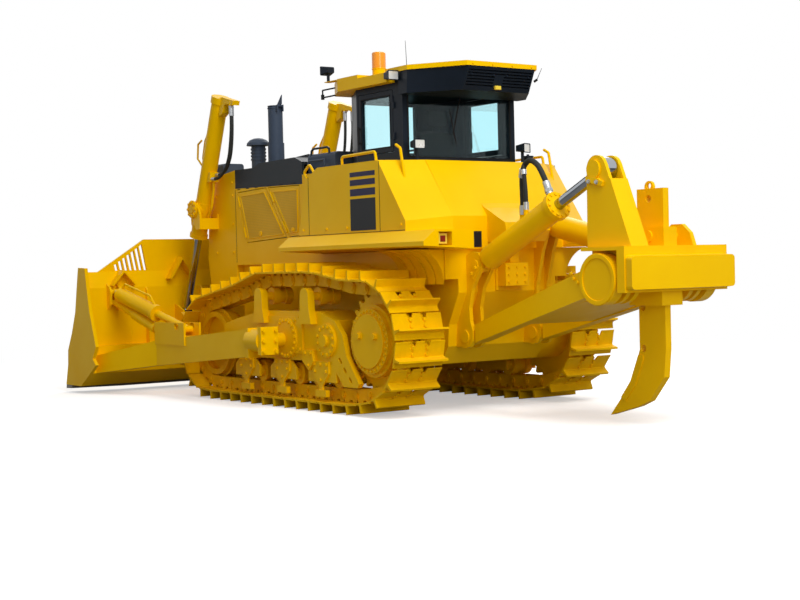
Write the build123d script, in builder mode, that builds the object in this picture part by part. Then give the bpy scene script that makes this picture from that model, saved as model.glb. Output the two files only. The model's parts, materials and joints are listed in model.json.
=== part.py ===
from build123d import *
import os
from math import atan2, cos, hypot, pi, radians, sin, sqrt, tan

os.makedirs("parts", exist_ok=True)

# A crawler bulldozer with a semi-U blade and a single-shank ripper. Millimetres, +Z up, the blade
# towards -Y, the machine's left side at +X. The origin is on the ground, in the middle of the
# overall length. Lengths along the machine are stations, measured from the sprocket shaft and
# positive to the rear, as on a service drawing.
sprocket_y = 1213.5

# --- undercarriage ---------------------------------------------------------------------------
track_gauge = 2140.0
shoe_width = 560.0
shoe_count = 41
shoe_thickness = 18.0
grouser_height = 85.0
grouser_base = 34.0
grouser_tip = 20.0
plate_above_pin = 90.0
rail_below_pin = 60.0
strand_width = 55.0
strand_spacing = 161.0
sprocket_height = 711.0
sprocket_pitch_radius = 495.6
sprocket_width = 80.0
sprocket_teeth = 27
idler_station = -3165.0
idler_pitch_radius = 430.0
idler_width = 216.0
roller_radius = 112.0
roller_length = 250.0
carrier_radius = 90.0
carrier_height = 1145.0
carrier_stations = (-1900.0, -990.0)
carrier_flat = (-1930.0, -890.0)
roller_pitch = 371.0
roller_count = 6
bogie_stations = (-2284.0, -1543.0, -802.0)
last_roller = -615.0
running_gap = 0.3
carrier_gap = 12.0

track_x = track_gauge / 2
ground_pin = grouser_height + plate_above_pin
rail_top = ground_pin + rail_below_pin
idler_height = ground_pin + idler_pitch_radius

# --- body ------------------------------------------------------------------------------------
frame_half = 600.0
frame_bottom = 470.0
case_top = 1280.0
case_rear = 560.0
case_back = [(560, 1150), (400, 850), (380, 640), (250, 470)]
tank_rear = 600.0
guard_half = 680.0
guard_rear = -3511.0
hood_half = 680.0
hood_rear = -2040.0
vent_half = 430.0
knuckle_radius = 12.0
panel_thickness = 30.0
leaf_thickness = 10.0
hood_top = 2565.0
exhaust_at = (250.0, -3290.0)
exhaust_top = 3290.0
exhaust_radius = 85.0
cap_hinge = (exhaust_at[1] + exhaust_radius + 22, exhaust_top + 4)
cap_pin_radius = 6.0
precleaner_at = (250.0, -3700.0)
precleaner_foot = 2572.0
precleaner_top = 2965.0
sponson_half = 750.0
sill_bottom = 1560.0
sill_top = 1735.0
sill_half = 1250.0
deck_height = 2420.0
tank_side = 1100.0
platform_rear = 100.0
cowl_half = 600.0
cowl_height = 215.0
header_top = 2665.0

# --- cab -------------------------------------------------------------------------------------
cab_half = 700.0
cab_nose_half = 430.0
cab_rear = -130.0
cab_shoulder = -930.0
cab_front = -1420.0
cab_wall = 45.0
cab_top = 3200.0
well_half = 560.0
well_span = (-1240.0, -240.0)
well_floor = 1980.0
well_wall = 20.0
roof_top = 3330.0
glass_thickness = 8.0
door_front = -900.0
door_rear = -290.0
door_gap = 8.0
door_low = 2536.0
door_high = 3134.0
door_rail = 54.0

# --- blade gear ------------------------------------------------------------------------------
trunnion_station = -1480.0
trunnion_height = 695.0
trunnion_radius = 70.0
socket_radius = 118.0
socket_x = 1550.0
shaft_clearance = 0.05
arm_inner = 1500.0
arm_outer = 1620.0
blade_half = 2065.0
end_plate = 40.0
blade_foot = -4600.0
lift_cylinder_x = 800.0
lift_barrel_end = 350.0
lift_barrel_top = -1350.0
lift_barrel_radius = 95.0
lift_rod_radius = 45.0
yoke_station = -4088.0
yoke_height = 2141.0
lift_pin_station = -4580.0
lift_pin_height = 910.0

# --- ripper ----------------------------------------------------------------------------------
arm_pin_station = 520.0
arm_pin_height = 735.0
arm_pin_radius = 60.0
boss_station = 2457.0
boss_height = 1262.0
boss_radius = 220.0
boss_pin_radius = 120.0
bracket_x = 417.0
bracket_half = 85.0
bracket_plate = 40.0
eye_half = 40.0
tilt_base = (695.0, 1410.0)
tilt_head = (2370.0, 2190.0)
lift_base = (695.0, 1790.0)
lift_head = (2150.0, 1480.0)
mast_eye_x = bracket_x
mast_round = 113.0
beam_eye_x = -330.0
ripper_barrel_radius = 112.0
ripper_rod_radius = 50.0
mast_half = 100.0
mast_plate = 35.0
beam_half = 606.0
beam_low = 1180.0
beam_high = 1533.0
shank_front = 2355.0
shank_rear = 2665.0
shank_thickness = 66.0
shank_gap = 0.3
beam_inner = 475.0
beam_rear = 2780.0
bumper_rear = 2868.0
bumper_round = 35.0
lift_lug_half = 106.0


def side(x):
    """A plane facing +X at x: local x is the station, local y the height."""
    return Plane(origin=(x, sprocket_y, 0), x_dir=(0, 1, 0), z_dir=(1, 0, 0))


def across(station):
    """A plane facing the blade at a station: local x is the model's X, local y the height."""
    return Plane(origin=(0, sprocket_y + station, 0), x_dir=(1, 0, 0), z_dir=(0, -1, 0))


def level(height):
    """A plane facing up at a height: local x is the model's X, local y the station."""
    return Plane(origin=(0, sprocket_y, height), x_dir=(1, 0, 0), z_dir=(0, 0, 1))


def spot(x, station, height):
    return Vector(x, sprocket_y + station, height)


def slab(plane, outline, thickness, mode=Mode.ADD):
    """A plate with straight edges, raised from a plane."""
    with BuildSketch(plane) as profile:
        with BuildLine():
            Polyline(*outline, close=True)
        make_face()
    extrude(profile.sketch, amount=thickness, mode=mode)


def disc(plane, centre, radius, thickness, mode=Mode.ADD):
    """A round plate, raised from a plane."""
    with BuildSketch(plane) as profile:
        with Locations(centre):
            Circle(radius)
    extrude(profile.sketch, amount=thickness, mode=mode)


def bar(start, end, radius, mode=Mode.ADD):
    """A round bar between two points."""
    run = Vector(*end) - Vector(*start)
    with BuildSketch(Plane(origin=start, z_dir=run)) as profile:
        Circle(radius)
    extrude(profile.sketch, amount=run.length, mode=mode)


def block(x, station, height, mode=Mode.ADD):
    """A box between two X values, two stations and two heights."""
    with BuildSketch(level(height[0])) as profile:
        with Locations(((x[0] + x[1]) / 2, (station[0] + station[1]) / 2)):
            Rectangle(x[1] - x[0], station[1] - station[0])
    extrude(profile.sketch, amount=height[1] - height[0], mode=mode)


def ruled(*ends):
    """A solid with straight sides between outlines, each on its own plane."""
    faces = [Face(Wire.make_polygon([plane.from_local_coords(point) for point in outline])) for plane, outline in ends]
    loft(faces, ruled=True)


def tube(points, radius, bends, mode=Mode.ADD):
    """A round tube along straight runs joined by round bends."""
    with BuildLine() as route:
        FilletPolyline(*points, radius=bends)
    path = route.wire()
    with BuildSketch(Plane(origin=path @ 0, z_dir=path % 0)) as section:
        Circle(radius)
    sweep(section.sketch, path=path, mode=mode)


def knuckles(start, end, spans, radius, mode=Mode.ADD):
    """Hinge barrels on a line, each between two fractions of its length."""
    for first, last in spans:
        bar(start + (end - start) * first, start + (end - start) * last, radius, mode)


def write(name, solid):
    solid.label = name
    export_step(solid, f"parts/{name}.step")


def write_both(name, solid):
    """Write a left piece and its mirror image as one node."""
    with BuildPart() as both:
        add(solid)
        mirror(solid, about=Plane.YZ)
    write(name, both.part)


def write_pair(name, solid):
    """Write the left piece, and its mirror image as the right one."""
    write(f"{name}_left", solid)
    with BuildPart() as twin:
        mirror(solid, about=Plane.YZ)
    write(f"{name}_right", twin.part)


# --- track chain -----------------------------------------------------------------------------
def tangent(centre, radius, point, turn):
    """Where a line from a point touches a circle; turn picks one of the two sides."""
    gap = hypot(point[0] - centre[0], point[1] - centre[1])
    towards = atan2(point[1] - centre[1], point[0] - centre[0])
    swing = turn * sqrt(max(gap**2 - radius**2, 0.0))
    angle = towards + atan2(swing, radius)
    return (centre[0] + radius * cos(angle), centre[1] + radius * sin(angle))


idler_centre = (idler_station, idler_height)
sprocket_centre = (0.0, sprocket_height)
carrier_pin_height = carrier_height + carrier_radius + rail_below_pin + running_gap
front_sag = [(-2845.0, carrier_pin_height - 197), (-2431.0, carrier_pin_height - 128)]
rear_sag = [(-560.0, carrier_pin_height - 48), (-300.0, carrier_pin_height - 92)]
lift_off = (-230.0, ground_pin)
sprocket_low = tangent(sprocket_centre, sprocket_pitch_radius, lift_off, 1)
sprocket_high = tangent(sprocket_centre, sprocket_pitch_radius, rear_sag[-1], -1)
idler_high = tangent(idler_centre, idler_pitch_radius, front_sag[0], 1)

with BuildLine() as chain_path:
    Line((idler_station, ground_pin), lift_off)
    Line(lift_off, sprocket_low)
    ThreePointArc(sprocket_low, (sprocket_pitch_radius, sprocket_height), sprocket_high)
    Polyline(
        sprocket_high,
        rear_sag[1],
        rear_sag[0],
        (carrier_flat[1], carrier_pin_height),
        (carrier_flat[0], carrier_pin_height),
        front_sag[1],
        front_sag[0],
        idler_high,
    )
    ThreePointArc(
        idler_high,
        (idler_station - idler_pitch_radius, idler_height),
        (idler_station, ground_pin),
    )

chain = chain_path.wire()
print("pitch of the shoes", round(chain.length / shoe_count, 2))
pins = [chain.position_at((i + 0.5) / shoe_count) for i in range(shoe_count)]


def outward(i):
    """The unit vector out of the loop, square to the link from pin i to the next pin."""
    run = (pins[(i + 1) % shoe_count] - pins[i % shoe_count]).normalized()
    return Vector(run.Y, -run.X)


def corner(i, distance):
    """A corner of a loop drawn parallel to the pin line, at pin i."""
    before, after = outward(i - 1), outward(i)
    middle = (before + after).normalized()
    return pins[i % shoe_count] + middle * (distance / middle.dot(after))


def loop(distance):
    return [tuple(corner(i, distance))[:2] for i in range(shoe_count)]


def shoe_line():
    """The outside of the track: each shoe's plate with one grouser a third of the way along."""
    points = []
    for i in range(shoe_count):
        first, last = corner(i, plate_above_pin), corner(i + 1, plate_above_pin)
        run = (last - first).normalized()
        root = first + (last - first) * 0.3
        up = outward(i)
        points.append(first)
        for along, height in (
            (-grouser_base / 2, 0),
            (-grouser_tip / 2, grouser_height),
            (grouser_tip / 2, grouser_height),
            (grouser_base / 2, 0),
        ):
            points.append(root + run * along + up * height)
    return [tuple(p)[:2] for p in points]


with BuildPart() as track:
    shoe_inner = plate_above_pin - shoe_thickness
    slab(side(track_x - shoe_width / 2), shoe_line(), shoe_width)
    slab(side(track_x - shoe_width / 2), loop(shoe_inner), shoe_width, Mode.SUBTRACT)
    for across_x in (-strand_spacing / 2, strand_spacing / 2):
        with BuildSketch(side(track_x + across_x - strand_width / 2)) as strand:
            with BuildLine():
                Polyline(*loop(shoe_inner), close=True)
            make_face()
            with BuildLine():
                Polyline(*loop(-rail_below_pin), close=True)
            make_face(mode=Mode.SUBTRACT)
        extrude(strand.sketch, amount=strand_width)
write_pair("track", track.part)

# --- sprocket and final drive ----------------------------------------------------------------
hub_radius = 310.0
hub_face = 1245.0
with BuildPart() as sprocket:
    tooth_root = sprocket_pitch_radius - 45
    tooth_tip = sprocket_pitch_radius + 12
    step = 2 * pi / sprocket_teeth
    teeth = []
    for i in range(sprocket_teeth):
        for turn, radius in ((-0.30, tooth_root), (-0.12, tooth_tip), (0.12, tooth_tip), (0.30, tooth_root)):
            angle = (i + turn) * step
            teeth.append((radius * cos(angle), sprocket_height + radius * sin(angle)))
    slab(side(track_x - sprocket_width / 2), teeth, sprocket_width)
    disc(side(frame_half), sprocket_centre, hub_radius - 40, hub_face - frame_half)
    disc(side(track_x + sprocket_width / 2), sprocket_centre, hub_radius + 35, 90)
    disc(side(hub_face - 60), sprocket_centre, hub_radius, 60)
    disc(side(hub_face), sprocket_centre, hub_radius - 55, 22)
write_both("sprockets", sprocket.part)

# --- idler -----------------------------------------------------------------------------------
idler_tread = idler_pitch_radius - rail_below_pin - 18
with BuildPart() as idler:
    disc(side(track_x - idler_width / 2), idler_centre, idler_tread, idler_width)
    disc(side(track_x - idler_width / 2), idler_centre, idler_tread - 60, 60, Mode.SUBTRACT)
    disc(side(track_x + idler_width / 2 - 60), idler_centre, idler_tread - 60, 60, Mode.SUBTRACT)
    disc(side(track_x - 45), idler_centre, idler_tread + 32, 90)
    disc(side(track_x - 133.7), idler_centre, 90, 267.4)
write_both("idlers", idler.part)

# --- track frame -----------------------------------------------------------------------------
frame_x = (track_x - 190, track_x + 200)
frame_low = 490.0
shaft_end = track_x + 175.0
shaft_height = rail_top + running_gap + roller_radius
with BuildPart() as track_frame:
    slab(
        side(frame_x[0]),
        [(-2780, 520), (-2780, 830), (-2450, 900), (-1950, 985), (-830, 985), (-560, 900), (-560, frame_low),
         (-2640, frame_low)],
        frame_x[1] - frame_x[0],
    )
    # the guard that runs down past the sprocket, outside it
    slab(
        side(frame_x[1] - 55),
        [(-560, frame_low), (-560, 900), (-420, 760), (-360, 560), (-150, 300), (-180, 260), (-420, 260),
         (-640, frame_low)],
        55,
    )
    for station, height in ((-300, 330), (-390, 420), (-470, 510)):
        with BuildSketch(side(frame_x[1] - 55)) as hole:
            with Locations((station, height)):
                SlotOverall(70, 34, rotation=-48)
        extrude(hole.sketch, amount=55, mode=Mode.SUBTRACT)
    # carrier roller posts, widened at the foot and rounded over the roller's shaft
    for station in carrier_stations:
        slab(
            side(frame_x[1]),
            [(station - 120, 860), (station - 85, 1000), (station - 75, carrier_height), (station + 75, carrier_height),
             (station + 85, 1000), (station + 120, 860)],
            75,
        )
        disc(side(frame_x[1]), (station, carrier_height), 75, 75)
    # idler yokes
    for x in (frame_x[0], track_x + 134):
        slab(side(x), [(-2780, 520), (-3240, 530), (-3240, 690), (-2780, 760)], 56)
    # raised boxes on the frame's outside, and the bolted rings of the pivot and the trunnion
    slab(side(frame_x[1]), [(-1880, 620), (-1880, 930), (-1200, 930), (-1130, 850), (-1130, 560), (-1820, 560)], 22)
    disc(side(frame_x[1]), (trunnion_station + 60, trunnion_height + 15), 205, 42)
    disc(side(frame_x[1]), (-690, 700), 165, 30)
    disc(side(frame_x[1] + 30), (-690, 700), 60, 30)
    # shield over the equaliser's stop
    slab(side(frame_x[1]), [(-1080, 600), (-910, 600), (-890, 490), (-985, 400), (-1095, 490)], 45)
    # trunnion that carries the push arm outside the track
    disc(side(frame_x[1] - 10), (trunnion_station, trunnion_height), trunnion_radius, arm_outer - 20 - frame_x[1])
    # bogies: the links that hold the rollers' shafts, inside and outside, with a pointed cover
    for middle in bogie_stations:
        for x in (track_x - 200, shaft_end + running_gap):
            slab(
                side(x),
                [(middle - 255, 405), (middle - 130, frame_low + 10), (middle + 130, frame_low + 10), (middle + 255, 405),
                 (middle + 255, 290), (middle - 255, 290)],
                24.7,
            )
        slab(
            side(shaft_end + 25),
            [(middle - 145, frame_low + 5), (middle + 145, frame_low + 5), (middle + 145, 375), (middle + 32, 255),
             (middle - 32, 255), (middle - 145, 375)],
            20,
        )
        block((shaft_end + 25, shaft_end + 45), (middle - 32, middle + 32), (200, 300))
        block((shaft_end + 25, shaft_end + 70), (middle - 60, middle + 130), (150, 215))
    # pivot shaft and equaliser seats towards the body
    disc(side(frame_half), (-620, sprocket_height), 130, frame_x[0] - frame_half)
    block((frame_half, frame_x[1]), (-2520, -2300), (560, 760))
write_both("track_frames", track_frame.part)

with BuildPart() as rollers:
    for i in range(roller_count):
        middle = (last_roller - i * roller_pitch, shaft_height)
        disc(side(track_x - roller_length / 2), middle, roller_radius - 22, roller_length)
        for x in (-roller_length / 2, roller_length / 2 - 85):
            disc(side(track_x + x), middle, roller_radius, 85)
        disc(side(track_x - 175), middle, 60, 350)
    for station in carrier_stations:
        middle = (station, carrier_height - carrier_gap)
        disc(side(track_x - 110), middle, carrier_radius - 18, 220)
        for x in (-110, 35):
            disc(side(track_x + x), middle, carrier_radius, 75)
        disc(side(track_x + 110), middle, 45, frame_x[1] - track_x - 110)
write_both("track_rollers", rollers.part)

# --- main frame and body ---------------------------------------------------------------------
with BuildPart() as main_frame:
    slab(
        side(-frame_half),
        [(guard_rear, 700), (-3200, frame_bottom), *case_back[::-1],
         (case_rear, case_top), (hood_rear, case_top), (hood_rear, 1500), (guard_rear, 1500)],
        2 * frame_half,
    )
write("main_frame", main_frame.part)

def guard_top(station):
    """The height of the guard's sloping top."""
    return 2508 + (hood_top - 2508) * (station + 4007) / (guard_rear + 4007)


with BuildPart() as guard:
    slab(
        side(-guard_half),
        [(guard_rear, 1000), (-4100, 1000), (-4207, 1559), (-4167, 2045), (-4015, 2355), (-4007, guard_top(-4007)),
         (guard_rear, hood_top)],
        2 * guard_half,
    )
    disc(level(2530), precleaner_at, 100, precleaner_foot - 2530)
write("radiator_guard", guard.part)

with BuildPart() as engine:
    block((-350, 350), (-3300, -2250), (1500, 2200))
write("engine_block", engine.part)

with BuildPart() as hood:
    slab(
        side(-hood_half),
        [(guard_rear, 2350), (guard_rear, 2565), (-3078, 2565), (-2972, 2607), (-2195, 2618), (hood_rear, 2560), (hood_rear, 2320)],
        2 * hood_half,
    )
    slab(
        side(-hood_half + panel_thickness),
        [(guard_rear, 2350), (guard_rear, 2530), (-3078, 2541), (-2972, 2577), (-2195, 2588), (hood_rear, 2530), (hood_rear, 2320)],
        2 * (hood_half - panel_thickness),
        Mode.SUBTRACT,
    )
    # raised vent with slanted ends
    slab(side(-vent_half), [(-3075, 2560), (-2960, 2632), (-2300, 2668), (-2190, 2610)], 2 * vent_half)
write("hood", hood.part)

# the engine bay's side walls, with an opening for each door
door_outlines = (
    ("front", [(-3463, 2307), (-2816, 2328), (-2382, 1755), (-3263, 1720)]),
    ("rear", [(-2765, 2326), (-2100, 2316), (-2100, 1765), (-2330, 1757)]),
)
leaf_spans = ((0.10, 0.20), (0.80, 0.90))
wall_spans = ((0.2005, 0.30), (0.70, 0.7995))
notch_spans = ((0.099, 0.301), (0.699, 0.901))
web_inset = 0.035
with BuildPart() as bay_wall:
    slab(
        side(hood_half - panel_thickness),
        [(guard_rear, 1500), (guard_rear, 2350), (hood_rear, 2320), (hood_rear, 1500)],
        panel_thickness,
    )
    for _, outline in door_outlines:
        slab(side(hood_half - panel_thickness), outline, panel_thickness, Mode.SUBTRACT)
        low, high = spot(hood_half, *outline[-1]), spot(hood_half, *outline[0])
        knuckles(low, high, notch_spans, knuckle_radius + 1, Mode.SUBTRACT)
        knuckles(low, high, wall_spans, knuckle_radius)
        for first, last in wall_spans:
            near, far = low + (high - low) * (first + web_inset), low + (high - low) * (last - web_inset)
            slab(
                side(hood_half - panel_thickness),
                [(near.Y - sprocket_y - 30, near.Z), (near.Y - sprocket_y, near.Z),
                 (far.Y - sprocket_y, far.Z), (far.Y - sprocket_y - 30, far.Z)],
                panel_thickness,
            )
    block((frame_half, hood_half), (guard_rear, hood_rear), (1470, 1500))
write_both("bay_walls", bay_wall.part)

for name, outline in door_outlines:
    with BuildPart() as bay_door:
        with BuildSketch(side(hood_half - leaf_thickness)) as leaf:
            with BuildLine():
                Polyline(*outline, close=True)
            make_face()
            offset(amount=-door_gap, kind=Kind.INTERSECTION, mode=Mode.REPLACE)
        extrude(leaf.sketch, amount=leaf_thickness)
        low, high = spot(hood_half, *outline[-1]), spot(hood_half, *outline[0])
        knuckles(low, high, notch_spans, knuckle_radius + 3, Mode.SUBTRACT)
        knuckles(low, high, leaf_spans, knuckle_radius)
        for first, last in leaf_spans:
            near, far = low + (high - low) * (first + web_inset), low + (high - low) * (last - web_inset)
            slab(
                side(hood_half - leaf_thickness),
                [(near.Y - sprocket_y, near.Z), (near.Y - sprocket_y + 30, near.Z),
                 (far.Y - sprocket_y + 30, far.Z), (far.Y - sprocket_y, far.Z)],
                leaf_thickness,
            )
    write_pair(f"bay_door_{name}", bay_door.part)

with BuildPart() as exhaust:
    x, station = exhaust_at
    bar(spot(x, station, hood_top), spot(x, station, exhaust_top), exhaust_radius)
    bar(spot(x, station, exhaust_top - 640), spot(x, station, exhaust_top), exhaust_radius - 15, Mode.SUBTRACT)
    bar(spot(x, station, hood_top + 55), spot(x, station, hood_top + 305), exhaust_radius + 10)
    bar(spot(x, station, exhaust_top - 22), spot(x, station, exhaust_top - 10), exhaust_radius + 6)
    # hinge bracket and pin for the rain cap
    for edge in (-42, 30):
        slab(
            side(x + edge),
            [(station + exhaust_radius - 8, exhaust_top - 60), (cap_hinge[0] + 14, exhaust_top - 60),
             (cap_hinge[0] + 14, cap_hinge[1] + 12), (cap_hinge[0] - 10, cap_hinge[1] + 12),
             (station + exhaust_radius - 8, exhaust_top - 24)],
            12,
        )
    disc(side(x - 42), cap_hinge, cap_pin_radius, 84)
write("exhaust_stack", exhaust.part)

# the flap has a weighted fin that stands up behind its hinge
with BuildPart() as rain_cap:
    disc(level(exhaust_top + 6), exhaust_at, exhaust_radius + 4, 6)
    disc(side(x - 29), cap_hinge, cap_pin_radius + 8, 58)
    block((x - 25, x + 25), (station + exhaust_radius - 20, cap_hinge[0]), (exhaust_top + 6, exhaust_top + 12))
    slab(
        side(x - 5),
        [(station + 40, exhaust_top + 11), (cap_hinge[0], exhaust_top + 11), (cap_hinge[0] + 40, exhaust_top + 20),
         (cap_hinge[0] + 45, exhaust_top + 125)],
        10,
    )
    disc(side(x - 45), cap_hinge, cap_pin_radius + shaft_clearance, 90, Mode.SUBTRACT)
write("rain_cap", rain_cap.part)

with BuildPart() as precleaner:
    x, station = precleaner_at
    bar(spot(x, station, precleaner_foot), spot(x, station, precleaner_top - 80), 83)
    for ring in range(4):
        bar(
            spot(x, station, precleaner_foot + 130 + 40 * ring),
            spot(x, station, precleaner_foot + 150 + 40 * ring),
            92,
        )
    with BuildSketch(Plane(origin=spot(x, station, 0), x_dir=(1, 0, 0), z_dir=(0, -1, 0))) as bowl:
        with BuildLine():
            Polyline(
                (0, precleaner_top), (0, precleaner_top - 90), (140, precleaner_top - 90),
                (132, precleaner_top - 58), (100, precleaner_top - 26), (55, precleaner_top - 7), close=True,
            )
        make_face()
    revolve(bowl.sketch, axis=Axis(spot(x, station, 0), (0, 0, 1)))
write("precleaner", precleaner.part)

with BuildPart() as platform:
    block((-guard_half, guard_half), (hood_rear, platform_rear), (sill_bottom, deck_height))
    block((-sponson_half, sponson_half), (hood_rear, case_rear), (case_top, sill_bottom))
    # foot well under the cab
    block((-well_half, well_half), well_span, (well_floor, deck_height + 1), Mode.SUBTRACT)
write("platform", platform.part)

with BuildPart() as cowl:
    with BuildSketch(level(deck_height)) as cowl_plan:
        with Locations((0, (hood_rear - 1500) / 2)):
            Rectangle(2 * cowl_half, -1500 - hood_rear)
    extrude(cowl_plan.sketch, amount=cowl_height)
    fillet(cowl.edges().filter_by(Axis.Y).sort_by(Axis.Z)[-2:], 40)
    # grab bars on its two sides
    for turn in (-1, 1):
        tube(
            [spot(turn * x, station, deck_height + height) for x, station, height in (
                (cowl_half, -1960, 60), (cowl_half + 45, -1960, 60), (cowl_half + 45, -1960, 135),
                (cowl_half + 45, -1640, 135), (cowl_half + 45, -1640, 60), (cowl_half, -1640, 60))],
            11,
            [20, 20, 20, 20],
        )
write("cowl", cowl.part)

with BuildPart() as header_tank:
    slab(side(390), [(-3995, guard_top(-3995)), (-3810, guard_top(-3810)), (-3810, header_top), (-3995, header_top)], 275)
    fillet(header_tank.edges().filter_by(Axis.Y).sort_by(Axis.Z)[-2:], 35)
write("header_tank", header_tank.part)

with BuildPart() as side_tank:
    with BuildSketch(side(guard_half)) as inner_end:
        with BuildLine():
            Polyline((-1560, sill_top), (-1330, 2310), (-1100, deck_height), (180, deck_height), (600, 1870), (600, sill_top), close=True)
        make_face()
    with BuildSketch(side(tank_side)) as outer_end:
        with BuildLine():
            Polyline((-1450, sill_top), (-1300, 2310), (-1070, deck_height), (0, deck_height), (430, 1830), (430, sill_top), close=True)
        make_face()
    loft([inner_end.sketch, outer_end.sketch])
    with BuildSketch(across(-1620)) as sill:
        with BuildLine():
            Polyline((guard_half, sill_bottom), (sill_half, 1590), (sill_half, 1630), (tank_side + 20, sill_top), (guard_half, sill_top), close=True)
        make_face()
    extrude(sill.sketch, amount=-2530)
    # recess for the tail lamp in the sill's rear end
    block((tank_side - 170, tank_side - 20), (790, 920), (sill_bottom + 30, sill_top - 20), Mode.SUBTRACT)
write_both("side_tanks", side_tank.part)

with BuildPart() as fuel_tank:
    slab(
        side(-guard_half),
        [(platform_rear, sill_bottom), (platform_rear, deck_height), (190, deck_height), (tank_rear, 1870), (tank_rear, sill_bottom)],
        2 * guard_half,
    )
    slab(side(-270), [(500, 1620), (500, 2000), (560, 1950), (860, 1800), (880, 1720), (800, 1620)], 540)
write("fuel_tank", fuel_tank.part)

# --- cab -------------------------------------------------------------------------------------
def cab_plan(inset=0.0):
    """The cab's walls seen from above, drawn in by an inset."""
    return [
        (cab_half - inset, cab_rear - inset),
        (cab_half - inset, cab_shoulder),
        (cab_nose_half - inset * 0.7, cab_front + inset),
        (-cab_nose_half + inset * 0.7, cab_front + inset),
        (-cab_half + inset, cab_shoulder),
        (-cab_half + inset, cab_rear - inset),
    ]


with BuildPart() as cab:
    slab(level(deck_height), cab_plan(), cab_top - deck_height)
    slab(level(deck_height + cab_wall), cab_plan(cab_wall), cab_top - deck_height - 2 * cab_wall, Mode.SUBTRACT)
    # tub that lines the foot well
    block((-well_half, well_half), well_span, (well_floor, deck_height + cab_wall))
    block(
        (-well_half + well_wall, well_half - well_wall),
        (well_span[0] + well_wall, well_span[1] - well_wall),
        (well_floor + well_wall, deck_height + cab_wall + 1),
        Mode.SUBTRACT,
    )
    # windshield, rear window, and the door openings with the pillars left between them
    block((-360, 360), (cab_front - 10, cab_front + 100), (2520, 3120), Mode.SUBTRACT)
    block((-630, 630), (cab_rear - 100, cab_rear + 10), (2480, 3120), Mode.SUBTRACT)
    block((-cab_half - 10, cab_half + 10), (door_front, door_rear), (door_low - 6, door_high + 6), Mode.SUBTRACT)
    for x in (-cab_half, cab_half):
        low, high = spot(x, door_rear, door_low), spot(x, door_rear, door_high)
        knuckles(low, high, notch_spans, knuckle_radius + 1, Mode.SUBTRACT)
        knuckles(low, high, wall_spans, knuckle_radius)
        for first, last in wall_spans:
            block(
                (x - 14, x + 14),
                (door_rear, door_rear + 30),
                (door_low + (door_high - door_low) * first, door_low + (door_high - door_low) * last),
            )
write("cab_frame", cab.part)

cab_hinge_low = spot(cab_half, door_rear, door_low)
cab_hinge_high = spot(cab_half, door_rear, door_high)
pane_span = (door_low + door_rail, door_high - door_rail)
with BuildPart() as door:
    block((cab_half - 40, cab_half), (door_front + door_gap, door_rear - door_gap), (door_low, door_high))
    block((cab_half - 50, cab_half + 10), (door_front + 60, door_rear - 60), pane_span, Mode.SUBTRACT)
    knuckles(cab_hinge_low, cab_hinge_high, notch_spans, knuckle_radius + 3, Mode.SUBTRACT)
    knuckles(cab_hinge_low, cab_hinge_high, leaf_spans, knuckle_radius)
    for first, last in leaf_spans:
        block(
            (cab_half - 14, cab_half + 12),
            (door_rear - 40, door_rear),
            (door_low + (door_high - door_low) * first, door_low + (door_high - door_low) * last),
        )
write_pair("cab_door", door.part)

with BuildPart() as door_glass:
    block((cab_half - 25, cab_half - 17), (door_front + 60, door_rear - 60), pane_span)
write_pair("door_glass", door_glass.part)

with BuildPart() as cab_glass:
    block((-360, 360), (cab_front + 15, cab_front + 15 + glass_thickness), (2520, 3120))
    block((-630, 630), (cab_rear - 25, cab_rear - 25 + glass_thickness), (2480, 3120))
write("cab_glass", cab_glass.part)

# the roof: a yellow visor and cap over a dark band, which ends in a louvred box behind the cab
roof_half = 800.0
roof_front = -1480.0
roof_corner = -1120.0
band_half = 750.0
box_half = 430.0
box_rear = 545.0
box_lean = 100.0
box_bottom = 3070.0
cap_low = 3290.0
lamp_bracket = 8.0
with BuildPart() as roof:
    front_plan = [(roof_half, -250), (roof_half, roof_corner), (600, roof_front)]
    slab(level(cab_top), front_plan + [(-x, station) for x, station in front_plan[::-1]], 95)
    visor_plan = [(roof_half, -751), (roof_half, roof_corner), (600, roof_front)]
    slab(level(cab_top), visor_plan + [(-x, station) for x, station in visor_plan[::-1]], roof_top - cab_top)
    cap_plan = [(box_half, box_rear + 5), (band_half + 5, 30), (band_half + 5, -330)]
    slab(level(cap_low), cap_plan + [(-x, station) for x, station in cap_plan[::-1]], roof_top + 5 - cap_low)
    # brackets that carry the front lamps past the visor's corners
    for turn in (-1, 1):
        slab(
            level(roof_top),
            [(turn * 650, -1250), (turn * 745, -1200), (turn * 750, -1440), (turn * 690, -1440)],
            lamp_bracket,
        )
write("cab_roof", roof.part)


def box_face(height):
    """The station of the box's leaning rear face."""
    return box_rear - box_lean * (cap_low - height) / (cap_low - box_bottom)


with BuildPart() as roof_band:
    ruled(
        *(
            (
                level(height),
                [(box_half - 20, box_face(height)), (band_half - 5, back), (band_half - 5, cab_rear),
                 (5 - band_half, cab_rear), (5 - band_half, back), (20 - box_half, box_face(height))],
            )
            for height, back in ((box_bottom, 5), (cap_low, 25))
        )
    )
    block((-cab_half, cab_half), (-250, cab_rear + 1), (cab_top, cap_low))
    # louvres: two long slots above, then short ones on both sides of a plate
    for i in range(6):
        low = cap_low - 45 - 27 * i
        for x in ((-390, 390),) if i < 2 else ((-390, -50), (60, 390)):
            block(x, (box_face(low) - 30, box_rear + 20), (low, low + 14), Mode.SUBTRACT)
write("roof_band", roof_band.part)

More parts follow.
